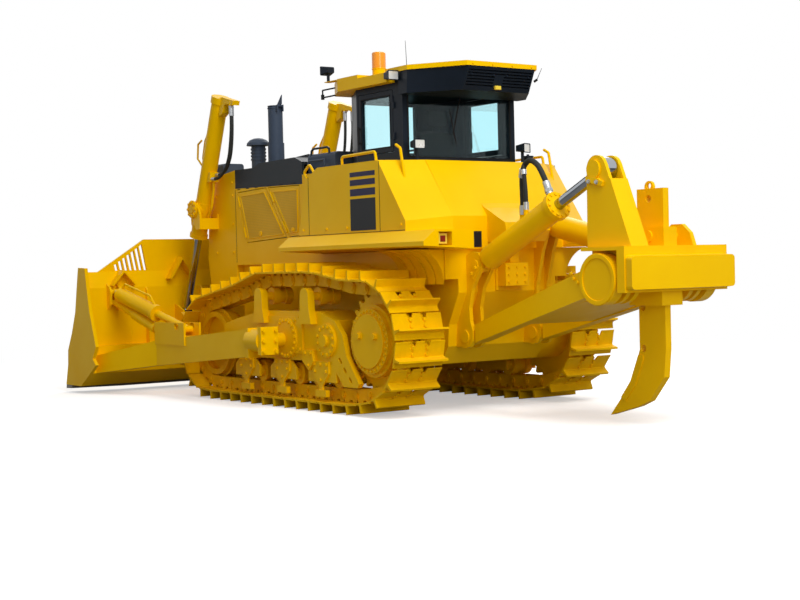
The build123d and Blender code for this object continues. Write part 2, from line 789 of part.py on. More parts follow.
# --- seat, beacon, lamps and rails -----------------------------------------------------------
seat_floor = well_floor + well_wall + running_gap
with BuildPart() as seat:
    block((-170, 170), (-960, -640), (seat_floor, seat_floor + 200))
    with BuildSketch(level(seat_floor + 200)) as cushion:
        with Locations((0, -810)):
            RectangleRounded(540, 500, 70)
    extrude(cushion.sketch, amount=140)
    # back and head rest, leaning to the rear
    slab(side(-250), [(-660, 2330), (-540, 2330), (-475, 2720), (-510, 2790), (-575, 2770)], 500)
    slab(side(-60), [(-560, 2770), (-520, 2770), (-500, 2850), (-540, 2850)], 120)
    slab(side(-133), [(-590, 2815), (-500, 2815), (-482, 2985), (-560, 3000)], 266)
    # arm rests on the control consoles
    for x in (-400, 320):
        slab(side(x), [(-960, 2440), (-960, 2530), (-520, 2530), (-520, seat_floor), (-800, seat_floor)], 80)
write("seat", seat.part)

beacon_at = (300.0, -1090.0)
with BuildPart() as beacon:
    bar(spot(*beacon_at, roof_top), spot(*beacon_at, roof_top + 55), 92)
    bar(spot(*beacon_at, roof_top + 55), spot(*beacon_at, roof_top + 120), 66)
    bar(spot(*beacon_at, roof_top + 120), spot(*beacon_at, roof_top + 300), 72)
    fillet(beacon.edges().filter_by(GeomType.CIRCLE).sort_by(Axis.Z)[-1:], 20)
write("beacon", beacon.part)

lamps = (  # face: x, station, height, then the light's heading from +Y towards +X, and the stalk's two ends
    (823, -95, 3248, 0, (785, -250, 3248), (785, -150, 3248)),
    (-823, -95, 3248, 0, (-785, -250, 3248), (-785, -150, 3248)),
    (620, 35, deck_height + 165, 0, (620, -20, deck_height), (620, -20, deck_height + 165)),
    (-640, 135, deck_height + 150, -20, (-621, 80, deck_height), (-621, 80, deck_height + 150)),
    (720, -1465, roof_top + 125, 180, (720, -1410, roof_top + lamp_bracket), (720, -1410, roof_top + 125)),
    (-720, -1465, roof_top + 125, 180, (-720, -1410, roof_top + lamp_bracket), (-720, -1410, roof_top + 125)),
)
lamp_width = 130.0
lamp_height = 96.0
lamp_depth = 110.0
lamp_rim = 9.0


def lamp_plane(x, station, height, heading):
    """A plane on a lamp's face, facing along the light: local x is level, local y is up."""
    turn = radians(heading)
    return Plane(origin=spot(x, station, height), x_dir=(-cos(turn), sin(turn), 0), z_dir=(sin(turn), cos(turn), 0))


with BuildPart() as lamp_housings:
    for x, station, height, heading, foot, head in lamps:
        face = lamp_plane(x, station, height, heading)
        with BuildSketch(face) as mouth:
            RectangleRounded(lamp_width, lamp_height, 12)
        with BuildSketch(face.offset(-lamp_depth)) as back:
            RectangleRounded(lamp_width - 50, lamp_height - 34, 12)
        loft([back.sketch, mouth.sketch])
        with BuildSketch(face.offset(-14)) as pocket:
            RectangleRounded(lamp_width - 2 * lamp_rim, lamp_height - 2 * lamp_rim, 8)
        extrude(pocket.sketch, amount=15, mode=Mode.SUBTRACT)
        bar(spot(*foot), spot(*head), 16)
write("work_lamps", lamp_housings.part)

with BuildPart() as lenses:
    for x, station, height, heading, foot, head in lamps:
        with BuildSketch(lamp_plane(x, station, height, heading).offset(-14 + running_gap)) as lens:
            RectangleRounded(lamp_width - 2 * lamp_rim - 1, lamp_height - 2 * lamp_rim - 1, 8)
        extrude(lens.sketch, amount=10)
write("lamp_lenses", lenses.part)

rails = (  # x, station, height of each corner of a rail on the left fender, then its bends
    ([(1050, -680, deck_height - 1), (1050, -692, deck_height + 80), (1050, -110, deck_height + 90),
      (1050, -92, deck_height - 1)], [30, 30]),
    ([(1000, -1385, 2280), (1000, -1480, 2400), (1000, -1370, 2475), (1000, -1245, 2340)], [25, 30]),
    ([(925, 200, deck_height - 220), (925, 130, deck_height + 110), (925, 60, deck_height + 145)], [30]),
)
with BuildPart() as rail:
    for corners, bends in rails:
        tube([spot(*point) for point in corners], 14, bends)
    add(side_tank.part, mode=Mode.SUBTRACT)
write_both("hand_rails", rail.part)

# filler necks on the right tank's top
with BuildPart() as filler:
    bar(spot(-820, -70, deck_height), spot(-820, -70, deck_height + 70), 45)
    bar(spot(-820, -70, deck_height + 70), spot(-820, -70, deck_height + 88), 58)
    bar(spot(-820, -70, deck_height + 88), spot(-820, -70, deck_height + 105), 14)
write("filler_cap", filler.part)

# --- blade -----------------------------------------------------------------------------------
# mould board sections from the cutting edge up the front and down the back: station, height
centre_section = [
    (-5125, 90), (-4985, 350), (-4900, 700), (-4860, 1050), (-4868, 1430),
    (-4790, 1430), (-4740, 1240), (-4740, 567), (blade_foot, 567), (blade_foot, 250), (-4860, 90),
]
wing_section = [
    (-5285, 90), (-5190, 350), (-5070, 700), (-4950, 1050), (-4858, 1430),
    (-4780, 1430), (-4680, 1240), (-4640, 567), (blade_foot, 567), (blade_foot, 250), (-4860, 90),
]
wing_start = 1450.0
blade_top = 1430.0
spill_top = 1810.0
spill_half = 1240.0
spill_foot = 1840.0
with BuildPart() as blade:
    slab(side(0), centre_section, wing_start)
    ruled((side(wing_start), centre_section), (side(blade_half - end_plate), wing_section))
    slab(
        side(blade_half - end_plate),
        [(-4853, 1484), (-4665, 1475), (-4631, 1291), (-4561, 964), (-4405, 566), (-4506, 424), (-4420, 352),
         (-4857, 90), (-5295, 90), (-5226, 333), (-5214, 502), (-5085, 713), (-4970, 959), (-4898, 1292)],
        end_plate,
    )
    mirror(about=Plane.YZ)
    # spill guard: a plate with slanted ends, each pierced by a row of leaning slots
    slope = (spill_top - blade_top) / (spill_foot - spill_half)
    with BuildSketch(across(-4790)) as crest:
        with BuildLine():
            Polyline((-spill_foot, blade_top), (-spill_half, spill_top), (spill_half, spill_top),
                     (spill_foot, blade_top), close=True)
        make_face()
        for turn in (-1, 1):
            for i in range(7):
                low = spill_half - 30 + 62 * i
                high = blade_top + 12 + (spill_foot - low - 38) * slope - 62
                with BuildLine():
                    Polyline(
                        (turn * low, blade_top + 12),
                        (turn * (low + 38), blade_top + 12),
                        (turn * (low + 38 + 0.18 * (high - blade_top)), high - 0.1 * (high - blade_top)),
                        (turn * (low + 0.18 * (high - blade_top)), high),
                        close=True,
                    )
                make_face(mode=Mode.SUBTRACT)
    extrude(crest.sketch, amount=30)
    # bent guard plates over the pins on the blade's back
    for middle, apex, half, low in ((1570, 1448, 165, 1265), (800, 1592, 175, 1330)):
        for turn in (-1, 1):
            slab(
                across(-4640),
                [(turn * middle, apex), (turn * middle + half, low), (turn * middle + half - 28, low),
                 (turn * middle, apex - 32), (turn * middle - half + 28, low), (turn * middle - half, low)],
                190,
            )
    # stiffening ribs down the back
    for x in (-1250, -520, 520, 1250):
        slab(side(x - 12), [(-4740, 1240), (-4740, 567), (-4650, 567), (-4700, 1200)], 24)
    # lugs for the lift rods
    for x in (-lift_cylinder_x, lift_cylinder_x):
        for inner in (-75, 50):
            slab(
                side(x + inner),
                [(-4740, 700), (-4740, 1020), (-4665, 1000), (lift_pin_station - 20, lift_pin_height + 62),
                 (lift_pin_station + 48, lift_pin_height + 38), (lift_pin_station + 65, lift_pin_height - 30),
                 (lift_pin_station + 20, lift_pin_height - 85)],
                25,
            )
    # lugs for the tilt cylinders and braces
    for x in (-1775, -1650, 1625, 1750):
        slab(side(x), [(-4725, 960), (-4725, 1290), (-4640, 1250), (-4600, 1190), (-4620, 1040)], 25)
write("blade", blade.part)

centre_edge = [(-5125, 90), (-4990, 90), (-5000, 52), (-5150, 45)]
wing_edge = [(-5285, 90), (-5120, 90), (-5130, 52), (-5295, 45)]
with BuildPart() as cutting_edge:
    slab(side(0), centre_edge, wing_start)
    ruled((side(wing_start), centre_edge), (side(blade_half), wing_edge))
    mirror(about=Plane.YZ)
write("cutting_edge", cutting_edge.part)

# push arms: a straight box behind, then a box that spreads out and down to the blade
arm_rear = -1660.0
arm_sections = [  # station, inner x, outer x, low, high
    (arm_rear, arm_inner, arm_outer, 526, 808),
    (-3700, arm_inner, 1642, 357, 640),
    (blade_foot, 1850, 1980, 250, 455),
]
gusset_high = 848.0
with BuildPart() as push_arm:
    for near, far in zip(arm_sections, arm_sections[1:]):
        ruled(
            *(
                (across(station), [(inner, low), (outer, low), (outer, high), (inner, high)])
                for station, inner, outer, low, high in (near, far)
            )
        )
    # collar, round socket with its bolted cap for the trunnion
    slab(across(arm_rear + 40), [(arm_inner - 12, 515), (arm_outer + 12, 515), (arm_outer + 12, 820), (arm_inner - 12, 820)], 40)
    bar(spot(socket_x, arm_rear, trunnion_height), spot(socket_x, trunnion_station + 80, trunnion_height), socket_radius)
    block((socket_x - 105, socket_x + 95), (trunnion_station + 80, trunnion_station + 145),
          (trunnion_height - 140, trunnion_height + 140))
    disc(side(arm_inner - 100), (trunnion_station, trunnion_height), trunnion_radius + shaft_clearance, 190, Mode.SUBTRACT)
    # open box on top of the arm that takes the tilt cylinder's pin
    gusset = [(-3720, 620), (-3720, gusset_high), (-3640, gusset_high), (-3000, gusset_high), (-3000, 640)]
    for x in (1440, 1628):
        slab(side(x), gusset, 22)
        with BuildSketch(side(x)) as eye:
            with Locations((-3174, gusset_high - 42)):
                SlotOverall(110, 74)
        extrude(eye.sketch, amount=22, mode=Mode.SUBTRACT)
    block((1440, 1650), (-3720, -3000), (600, 702))
write_both("push_arms", push_arm.part)

tilt_low = spot(1513, -3174, 775)
tilt_high = spot(1700, -4640, 1190)
brace_low = spot(1580, -3750, 755)
brace_high = spot(1700, -4630, 1069)
with BuildPart() as braces:
    tilt_run = tilt_high - tilt_low
    bar(tilt_low + tilt_run * 0.42, tilt_low + tilt_run * 0.92, 85)
    bar(tilt_low + tilt_run * 0.40, tilt_low + tilt_run * 0.44, 95)
    disc(side(1462), (-3174, 775), 36, 166)
    bar(tilt_low, tilt_high, 42)
    bar(brace_low, brace_high, 42)
    bar(brace_low + (brace_high - brace_low) * 0.05, brace_low + (brace_high - brace_low) * 0.55, 58)
    for x, pin_at in ((1700, (-4640, 1190)), (1700, (-4630, 1069))):
        disc(side(1650), pin_at, 30, 100)
    # oil pipe bent over the barrel
    tube(
        [tilt_low + tilt_run * 0.90 + Vector(0, 20, 75), tilt_low + tilt_run * 0.88 + Vector(0, 50, 140),
         tilt_low + tilt_run * 0.52 + Vector(0, 50, 150), tilt_low + tilt_run * 0.45 + Vector(0, 25, 75)],
        13,
        [30, 30],
    )
write_both("blade_braces", braces.part)

# --- lift cylinders --------------------------------------------------------------------------
lift_run = Vector(lift_pin_station - yoke_station, lift_pin_height - yoke_height).normalized()


def along_lift(distance):
    """A point on the left lift cylinder's centre line, measured down from the yoke."""
    return spot(lift_cylinder_x, yoke_station + lift_run.X * distance, yoke_height + lift_run.Y * distance)


lift_length = hypot(lift_pin_station - yoke_station, lift_pin_height - yoke_height)
hose_radius = 17.0
hose_block = -3790.0
lift_hoses = (  # x of each hose, then its points: station, height
    (772.0, [(-3375, 3262), (-3375, 3060), (-3392, 2880), (-3430, 2720), (-3520, 2590), (-3650, 2525), (hose_block, 2525)]),
    (828.0, [(-3300, 3250), (-3300, 3050), (-3328, 2870), (-3372, 2700), (-3468, 2562), (-3612, 2478), (hose_block, 2478)]),
)


def bend_radii(points):
    """Bend radii for a hose through points: each takes 0.45 of the shorter run beside its corner."""
    radii = []
    for before, middle, after in zip(points, points[1:], points[2:]):
        turn = (middle - before).get_angle(after - middle)
        shorter = min((middle - before).length, (after - middle).length)
        radii.append(0.45 * shorter / tan(radians(turn) / 2))
    return radii


with BuildPart() as yoke:
    block((guard_half, guard_half + 12), (-4060, -3930), (1900, 2080))
    block((guard_half, 930), (-3960, -3930), (1900, 2030))
    slab(side(905), [(-4160, 2070), (-4160, 2210), (-4020, 2210), (-3930, 2080), (-3930, 1900), (-4030, 1900)], 25)
    disc(side(905), (yoke_station, yoke_height), 45 + shaft_clearance, 25, Mode.SUBTRACT)
write_both("lift_yokes", yoke.part)

with BuildPart() as barrel:
    bar(along_lift(lift_barrel_top), along_lift(lift_barrel_end), lift_barrel_radius)
    bar(along_lift(lift_barrel_end - 45), along_lift(lift_barrel_end), lift_barrel_radius + 12)
    bar(along_lift(-90), along_lift(90), lift_barrel_radius + 7)
    disc(side(lift_cylinder_x), (yoke_station, yoke_height), 45, 930 - lift_cylinder_x)
    disc(side(lift_cylinder_x), (yoke_station, yoke_height), 92, 902 - lift_cylinder_x)
    # head block with the arm that carries the hoses
    bar(along_lift(lift_barrel_top - 18), along_lift(lift_barrel_top + 60), lift_barrel_radius + 12)
    slab(
        side(lift_cylinder_x - 45),
        [(-3600, 3395), (-3459, 3392), (-3215, 3328), (-3235, 3280), (-3390, 3312), (-3440, 3290), (-3470, 3215),
         (-3540, 3180)],
        90,
    )
    # nipples under the head's arm, and the block low on the barrel that takes the hoses' other ends
    for x, points in lift_hoses:
        bar(spot(x, points[0][0], points[0][1] + 80), spot(x, *points[0]), hose_radius + 5)
    block((745, 855), (-3900, hose_block), (2445, 2560))
    # oil pipes clipped to the barrel
    tube(
        [along_lift(-560) + Vector(0, -90, -40), along_lift(-640) + Vector(0, -200, 0),
         along_lift(-790) + Vector(0, -190, 60), along_lift(-960) + Vector(0, -130, 40)],
        14,
        [35, 35],
    )
    tube(
        [along_lift(-480) + Vector(0, 75, 0), along_lift(-250) + Vector(0, 190, 0), along_lift(-10) + Vector(0, 215, 0),
         along_lift(260) + Vector(0, 60, 0)],
        14,
        [60, 60],
    )
    tube(
        [along_lift(-30) + Vector(0, -90, 0), along_lift(-50) + Vector(0, -300, 0), along_lift(205) + Vector(0, -200, 0),
         along_lift(250) + Vector(0, -60, 0)],
        14,
        [60, 60],
    )
    bar(along_lift(lift_barrel_top + 50), along_lift(lift_barrel_end + 1), lift_rod_radius + shaft_clearance, Mode.SUBTRACT)
write_both("lift_cylinders", barrel.part)

with BuildPart() as hoses:
    for x, points in lift_hoses:
        route = [spot(x, *point) for point in points]
        print("bends of a lift hose", [round(radius) for radius in bend_radii(route)])
        tube(route, hose_radius, bend_radii(route))
write_both("lift_hoses", hoses.part)

with BuildPart() as lift_rod:
    bar(along_lift(-100), along_lift(lift_length - 40), lift_rod_radius)
    disc(side(lift_cylinder_x - 44), (lift_pin_station, lift_pin_height), 70, 88)
write_both("lift_rods", lift_rod.part)

# --- ripper ----------------------------------------------------------------------------------
bracket_sides = (  # side, the plate's edge above the frame's rear, the pin it carries, the pin's collar
    (1, [(case_rear, 1500), (660, 1530), (740, 1520), (790, 1440), (775, 1370), (640, 1190), (590, 1010)], tilt_base),
    (-1, [(tank_rear, sill_bottom), (tank_rear, 1870), (720, 1870), (775, 1820), (775, 1740), (680, 1520), (590, 1200),
          (590, 1010)], lift_base),
)
with BuildPart() as brackets:
    for turn, edge_line, pin_at in bracket_sides:
        start = (case_rear, 1500) if turn > 0 else (case_rear, sill_bottom)
        for edge in (-bracket_half, bracket_half - bracket_plate):
            slab(
                side(turn * bracket_x + edge),
                case_back[2::-1] + ([start] if turn < 0 else []) + edge_line
                + [(600, 880), (636, 790), (630, 690), (590, 640), (520, 625)],
                bracket_plate,
            )
        for middle, radius in (((arm_pin_station, arm_pin_height), arm_pin_radius), (pin_at, 45)):
            disc(side(turn * bracket_x - bracket_half - 12), middle, radius, 2 * bracket_half + 24)
        # keeper plate over the pin's end
        slab(
            side(turn * bracket_x + (bracket_half if turn > 0 else -bracket_half - 12)),
            [(pin_at[0] - 75, pin_at[1] - 110), (pin_at[0] - 20, pin_at[1] - 135), (pin_at[0] + 60, pin_at[1] - 20),
             (pin_at[0] + 10, pin_at[1] + 15)],
            12,
        )
write("ripper_brackets", brackets.part)

with BuildPart() as arms:
    disc(side(bracket_x - eye_half), (arm_pin_station, arm_pin_height), 88, 2 * eye_half)
    slab(side(bracket_x - eye_half), [(520, 647), (700, 690), (700, 870), (500, 822)], 2 * eye_half)
    ruled(
        (across(660), [(335, 680), (495, 680), (495, 850), (335, 850)]),
        (across(2300), [(495, 1110), (600, 1110), (600, 1350), (495, 1350)]),
    )
    disc(side(500), (boss_station, boss_height), boss_radius, 106)
    mirror(about=Plane.YZ)
    slab(side(-420), [(1300, 860), (2100, 1070), (2100, 1105), (1300, 895)], 840)
    for turn in (-1, 1):
        disc(side(turn * bracket_x - 90), (arm_pin_station, arm_pin_height), arm_pin_radius + shaft_clearance, 180, Mode.SUBTRACT)
        disc(side(turn * 550 - 110), (boss_station, boss_height), boss_pin_radius + shaft_clearance, 220, Mode.SUBTRACT)
write("ripper_arms", arms.part)

# the beam's ends pass between the arms' bosses and stand wide only behind them
guide_half = 120.0
guide_low = 1030.0
holder = (-50.0, 105.0)
with BuildPart() as beam:
    block((-beam_inner, beam_inner), (2260, beam_rear), (beam_low, beam_high))
    block((-beam_half, beam_half), (2690, beam_rear), (beam_low - 30, beam_high))
    # rounded bumper
    with BuildSketch(across(bumper_rear)) as bumper:
        with Locations((0, 1312)):
            RectangleRounded(2 * beam_half + 4, 272, bumper_round)
    with BuildSketch(across(beam_rear)) as bumper_root:
        with Locations((0, 1312)):
            RectangleRounded(2 * beam_half - 20, 290, bumper_round)
    loft([bumper_root.sketch, bumper.sketch])
    disc(side(-beam_half), (boss_station, boss_height), boss_pin_radius, 2 * beam_half)
    # round cheeks under the beam
    for x in (-440, -345, 300, 395):
        disc(side(x), (boss_station, boss_height), boss_radius - 8, 45)
    # top plate that reaches over the arms' bosses
    block((-beam_half, beam_half), (2262, 2700), (beam_high - 33, beam_high))
    # mast: two tall plates with round tops around the cylinder's pin, closed by a sloping plate behind
    mast_x = (mast_eye_x - mast_half, mast_eye_x + mast_half)
    for x in (mast_x[0], mast_x[1] - mast_plate):
        slab(
            side(x),
            [(2250, beam_high - 1), (2772, beam_high - 1), (tilt_head[0] + 106, tilt_head[1] + 42), tilt_head,
             (tilt_head[0] - 112, tilt_head[1] - 10)],
            mast_plate,
        )
        disc(side(x), tilt_head, mast_round, mast_plate)
    slab(side(mast_x[0]), [(2735, beam_high - 1), (2772, beam_high - 1), (2540, 2100), (2503, 2100)], 2 * mast_half)
    disc(side(mast_x[0] - 14), tilt_head, 44, 14)
    disc(side(mast_x[1]), (tilt_head[0] - 22, tilt_head[1] - 4), 78, 16)
    slab(side(mast_x[1]), [(2264, 2130), (2266, 2085), (2455, 2038), (2470, 2075), (2400, 2110)], 22)
    # lugs for the lift rod
    for edge in (-lift_lug_half, lift_lug_half - 30):
        slab(
            side(beam_eye_x + edge),
            [(2260, 1300), (2260, beam_high), (2180, 1560), (2090, 1520), (2080, 1420)],
            30,
        )
    # shank holder above the beam, guide box below it
    block(holder, (2450, 2735), (beam_high, 1690))
    block((-guide_half, guide_half), (2330, 2720), (guide_low, beam_low))
    # pin through the holder into the round lug of the pin puller
    disc(side(holder[1]), (2560, 1615), 48, 16)
    disc(side(-245), (2560, 1615), 34, 200)
    slab(side(-250), [(2395, beam_high), (2420, 1640), (2520, 1715), (2640, 1715), (2730, 1640), (2770, beam_high)], 42)
    disc(side(-330), (2560, 1625), 42, 82)
    block(
        (-shank_thickness / 2 - shank_gap, shank_thickness / 2 + shank_gap),
        (shank_front - shank_gap, shank_rear + shank_gap),
        (guide_low - 1, 1691),
        Mode.SUBTRACT,
    )
write("ripper_beam", beam.part)

with BuildPart() as shank:
    shank_side = side(-shank_thickness / 2)
    slab(
        shank_side,
        [(shank_front, 2020), (shank_front, 650), (2253, 374), (1978, 60), (2326, 154), (2461, 210), (2640, 420),
         (shank_rear, 661), (shank_rear, 2020)],
        shank_thickness,
    )
    # lifting eye and the row of pin holes
    disc(shank_side.offset(20), (2480, 2035), 52, shank_thickness - 40)
    disc(shank_side.offset(20), (2480, 2045), 26, shank_thickness - 40, Mode.SUBTRACT)
    for height in (1934, 1008, 658):
        disc(shank_side, (2490 if height > 1500 else 2400, height), 32, shank_thickness, Mode.SUBTRACT)
    # shin guard round the front edge above the tooth
    with BuildSketch(shank_side.offset(-9)) as shin:
        with BuildLine():
            Polyline((shank_front - 14, 600), (2240, 370), (2120, 225), (2170, 190), (2290, 330), (2400, 560),
                     (shank_front + 40, 600), close=True)
        make_face()
    extrude(shin.sketch, amount=shank_thickness + 18)
write("ripper_shank", shank.part)

# hoses of the tilt cylinder: a thick one in an arc from the gland, and a thin one that joins it
gland_port = 1140.0
thick_hose = 25.0
thin_hose = 19.0
tilt_run_unit = (spot(0, *tilt_head) - spot(0, *tilt_base)).normalized()
port_up = Vector(0, -tilt_run_unit.Z, tilt_run_unit.Y)
port_foot = spot(bracket_x, *tilt_base) + tilt_run_unit * gland_port
port_end = port_foot + port_up * 165
arc_points = [port_end, port_end + port_up * 140] + [
    spot(*point)
    for point in ((415, 1512, 2288), (410, 1400, 2342), (400, 1300, 2290), (390, 1262, 2170), (385, 1262, 2010), (385, 1262, 1860))
]
branch_points = [spot(*point) for point in ((440, 1372, 1900), (440, 1372, 2040), (436, 1352, 2170), (420, 1322, 2290))]

ripper_cylinders = (  # name, base x and pin, head x and pin, barrel's end, rod's inner end, rod eye's half width, radius
    ("tilt", bracket_x, tilt_base, mast_eye_x, tilt_head, 1200.0, 900.0, 58.0, 98.0),
    ("lift", -bracket_x, lift_base, beam_eye_x, lift_head, 1000.0, 510.0, 40.0, 80.0),
)
for name, base_x, base, head_x, head, barrel_end, rod_start, head_half, head_radius in ripper_cylinders:
    start = spot(base_x, *base)
    end = spot(head_x, *head)
    run = (end - start).normalized()
    with BuildPart() as ripper_barrel:
        bar(start + run * 130, start + run * barrel_end, ripper_barrel_radius)
        bar(start + run * (barrel_end - 60), start + run * (barrel_end - 5), ripper_barrel_radius + 18)
        disc(side(base_x - eye_half), base, 78, 2 * eye_half)
        slab(side(base_x - eye_half), [(base[0], base[1] - 70), (base[0] + 150, base[1] - 70 + 150 * run.Z / run.Y),
             (base[0] + 150, base[1] + 70 + 150 * run.Z / run.Y), (base[0], base[1] + 70)], 2 * eye_half)
        if name == "tilt":
            bar(port_foot + port_up * 90, port_end, thick_hose + 5)
            bar(spot(385, 1262, 1765), arc_points[-1], thick_hose + 5)
            bar(spot(440, 1372, 1800), branch_points[0], thin_hose + 5)
        bar(start + run * 150, start + run * (barrel_end + 1), ripper_rod_radius + shaft_clearance, Mode.SUBTRACT)
        disc(side(base_x - 90), base, 45 + shaft_clearance, 180, Mode.SUBTRACT)
    write(f"ripper_{name}_cylinder", ripper_barrel.part)
    with BuildPart() as ripper_rod:
        bar(start + run * rod_start, end - run * 50, ripper_rod_radius)
        disc(side(head_x - head_half), head, head_radius, 2 * head_half)
    write(f"ripper_{name}_rod", ripper_rod.part)

with BuildPart() as ripper_hoses:
    for route, radius in ((arc_points, thick_hose), (branch_points, thin_hose)):
        print("bends of a ripper hose", [round(bend) for bend in bend_radii(route)])
        tube(route, radius, bend_radii(route))
write("ripper_hoses", ripper_hoses.part)
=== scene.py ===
# %% [markdown]
# # Dressing a crawler bulldozer
# The solids of this bulldozer come from CAD: they have the right sizes, but no paint, no bolts and no
# wear. This lesson loads them, gives every surface its finish, and adds what a fitter would bolt or
# weld on: track shoes, door meshes, lamps, seals, rails, levers and several hundred screws.

import json
import math

import bmesh
import bpy
from mathutils import Euler, Matrix, Vector


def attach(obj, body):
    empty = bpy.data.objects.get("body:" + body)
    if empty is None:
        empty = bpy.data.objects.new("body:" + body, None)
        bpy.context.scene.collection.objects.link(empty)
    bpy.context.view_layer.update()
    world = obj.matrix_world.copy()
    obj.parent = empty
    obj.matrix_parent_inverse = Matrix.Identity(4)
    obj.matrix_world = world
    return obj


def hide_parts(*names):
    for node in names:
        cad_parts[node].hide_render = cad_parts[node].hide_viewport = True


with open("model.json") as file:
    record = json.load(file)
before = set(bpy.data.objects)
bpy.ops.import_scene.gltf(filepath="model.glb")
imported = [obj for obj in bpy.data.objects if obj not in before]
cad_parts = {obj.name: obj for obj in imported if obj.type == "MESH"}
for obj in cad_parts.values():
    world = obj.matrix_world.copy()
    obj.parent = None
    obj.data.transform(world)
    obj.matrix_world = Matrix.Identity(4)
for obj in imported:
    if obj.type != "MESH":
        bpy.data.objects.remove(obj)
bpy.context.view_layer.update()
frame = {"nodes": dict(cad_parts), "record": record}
print("CAD nodes", len(frame["nodes"]))

# %% [markdown]
# The camera stands behind the machine on its left, at a grown-up's eye height, and looks along the
# track towards the blade. Its three angles are easier to read than a matrix, so they are named first.
# Lengths along the machine are stations, measured rearwards from the sprocket's shaft, as on the
# machine's own drawings, and `place` turns a station into the frame's Y.

# %% Camera
SPROCKET_Y = 1.2135


def place(x, station, height):
    """A point from its X, its station and its height, in metres."""
    return Vector((x, station + SPROCKET_Y, height))


camera_data = bpy.data.cameras.new("camera")
camera_data.sensor_width = 36.0
camera_data.lens = 66.66
camera = bpy.data.objects.new("camera", camera_data)
bpy.context.collection.objects.link(camera)
camera_place = place(9.064, 11.542, 1.407)
yaw, pitch, roll = (math.radians(a) for a in (35.35, 1.285, -1.364))
ahead = Vector((-math.sin(yaw) * math.cos(pitch), -math.cos(yaw) * math.cos(pitch), -math.sin(pitch)))
level_right = ahead.cross(Vector((0, 0, 1))).normalized()
level_up = level_right.cross(ahead)
right = math.cos(roll) * level_right + math.sin(roll) * level_up
up = -math.sin(roll) * level_right + math.cos(roll) * level_up
camera.matrix_world = Matrix.Translation(camera_place) @ Matrix((right, up, -ahead)).transposed().to_4x4()
bpy.context.scene.camera = camera
print("camera at", [round(c, 2) for c in camera_place])

# %% [markdown]
# Every colour below is written as a paint shop would quote it, in sRGB hex. Shaders add light, so they
# need linear numbers, and one function does that sum. A second small function adds a node with its
# settings and its links, which keeps each material short enough to read.

# %% Colours and nodes
def linear(hex_colour):
    """An sRGB hex colour as the linear colour that shaders use."""
    channels = [int(hex_colour[i : i + 2], 16) / 255 for i in (1, 3, 5)]
    return (*[c / 12.92 if c <= 0.04045 else ((c + 0.055) / 1.055) ** 2.4 for c in channels], 1.0)


def add_node(tree, kind, inputs=None, **settings):
    """Add a node: settings are its own options, inputs are values or the sockets they come from."""
    new = tree.nodes.new(kind)
    for key, value in settings.items():
        setattr(new, key, value)
    for key, value in (inputs or {}).items():
        if isinstance(value, bpy.types.NodeSocket):
            tree.links.new(value, new.inputs[key])
        else:
            new.inputs[key].default_value = value
    return new


# %% [markdown]
# A studio for a machine is a very large white room. Big area lamps give soft shadows, and the world
# adds the light that such a room's walls send back. The Light Path node keeps the backdrop white for
# the camera and in reflections, and leaves the lighting itself at a plain level. The floor is shown
# white but sends back less light than that, so the machine's underside keeps its shade.

# %% Studio
scene = bpy.context.scene
scene.view_settings.view_transform = "Standard"
world = bpy.data.worlds.new("studio")
scene.world = world
world.use_nodes = True
sky = world.node_tree
sky.nodes.clear()
path = add_node(sky, "ShaderNodeLightPath")
seen = add_node(
    sky,
    "ShaderNodeMath",
    {0: path.outputs["Is Camera Ray"], 1: path.outputs["Is Glossy Ray"]},
    operation="MAXIMUM",
)
seen = add_node(
    sky, "ShaderNodeMath", {0: seen.outputs[0], 1: path.outputs["Is Transmission Ray"]}, operation="MAXIMUM"
)
room = add_node(sky, "ShaderNodeBackground", {"Color": linear("#F4F6FA"), "Strength": 0.42})
backdrop = add_node(sky, "ShaderNodeBackground", {"Color": (1, 1, 1, 1), "Strength": 1.0})
mixed = add_node(sky, "ShaderNodeMixShader", {0: seen.outputs[0], 1: room.outputs[0], 2: backdrop.outputs[0]})
add_node(sky, "ShaderNodeOutputWorld", {"Surface": mixed.outputs[0]})


def area_lamp(name, where, target, size, power):
    """A square soft lamp that faces a point."""
    data = bpy.data.lights.new(name, "AREA")
    data.shape = "SQUARE"
    data.size = size
    data.energy = power
    lamp = bpy.data.objects.new(name, data)
    bpy.context.collection.objects.link(lamp)
    lamp.location = where
    lamp.rotation_euler = (Vector(target) - Vector(where)).to_track_quat("-Z", "Y").to_euler()


area_lamp("key", (2.0, 8.0, 11.0), (0, 0, 1), 7.0, 900)
area_lamp("fill", (4.0, 14.0, 4.5), (0, 0.5, 1.2), 6.0, 420)
area_lamp("rim", (-7.0, -7.0, 9.0), (0, 0, 1), 6.0, 400)

floor_mesh = bpy.data.meshes.new("floor")
floor_mesh.from_pydata([(-900, -900, 0), (900, -900, 0), (900, 900, 0), (-900, 900, 0)], [], [(0, 1, 2, 3)])
floor = bpy.data.objects.new("floor", floor_mesh)
bpy.context.collection.objects.link(floor)
floor_paint = bpy.data.materials.new("studio_floor")
floor_paint.use_nodes = True
tree = floor_paint.node_tree
tree.nodes.clear()
path = add_node(tree, "ShaderNodeLightPath")
lit = add_node(tree, "ShaderNodeBsdfDiffuse", {"Color": linear("#FFFFFF")})
bounce = add_node(tree, "ShaderNodeBsdfDiffuse", {"Color": linear("#9A9A98")})
glow = add_node(tree, "ShaderNodeEmission", {"Color": (1, 1, 1, 1), "Strength": 0.42})
both = add_node(tree, "ShaderNodeAddShader", {0: lit.outputs[0], 1: glow.outputs[0]})
seen = add_node(
    tree,
    "ShaderNodeMath",
    {0: path.outputs["Is Camera Ray"], 1: path.outputs["Is Transmission Ray"]},
    operation="MAXIMUM",
)
floor_mix = add_node(
    tree, "ShaderNodeMixShader", {0: seen.outputs[0], 1: bounce.outputs[0], 2: both.outputs[0]}
)
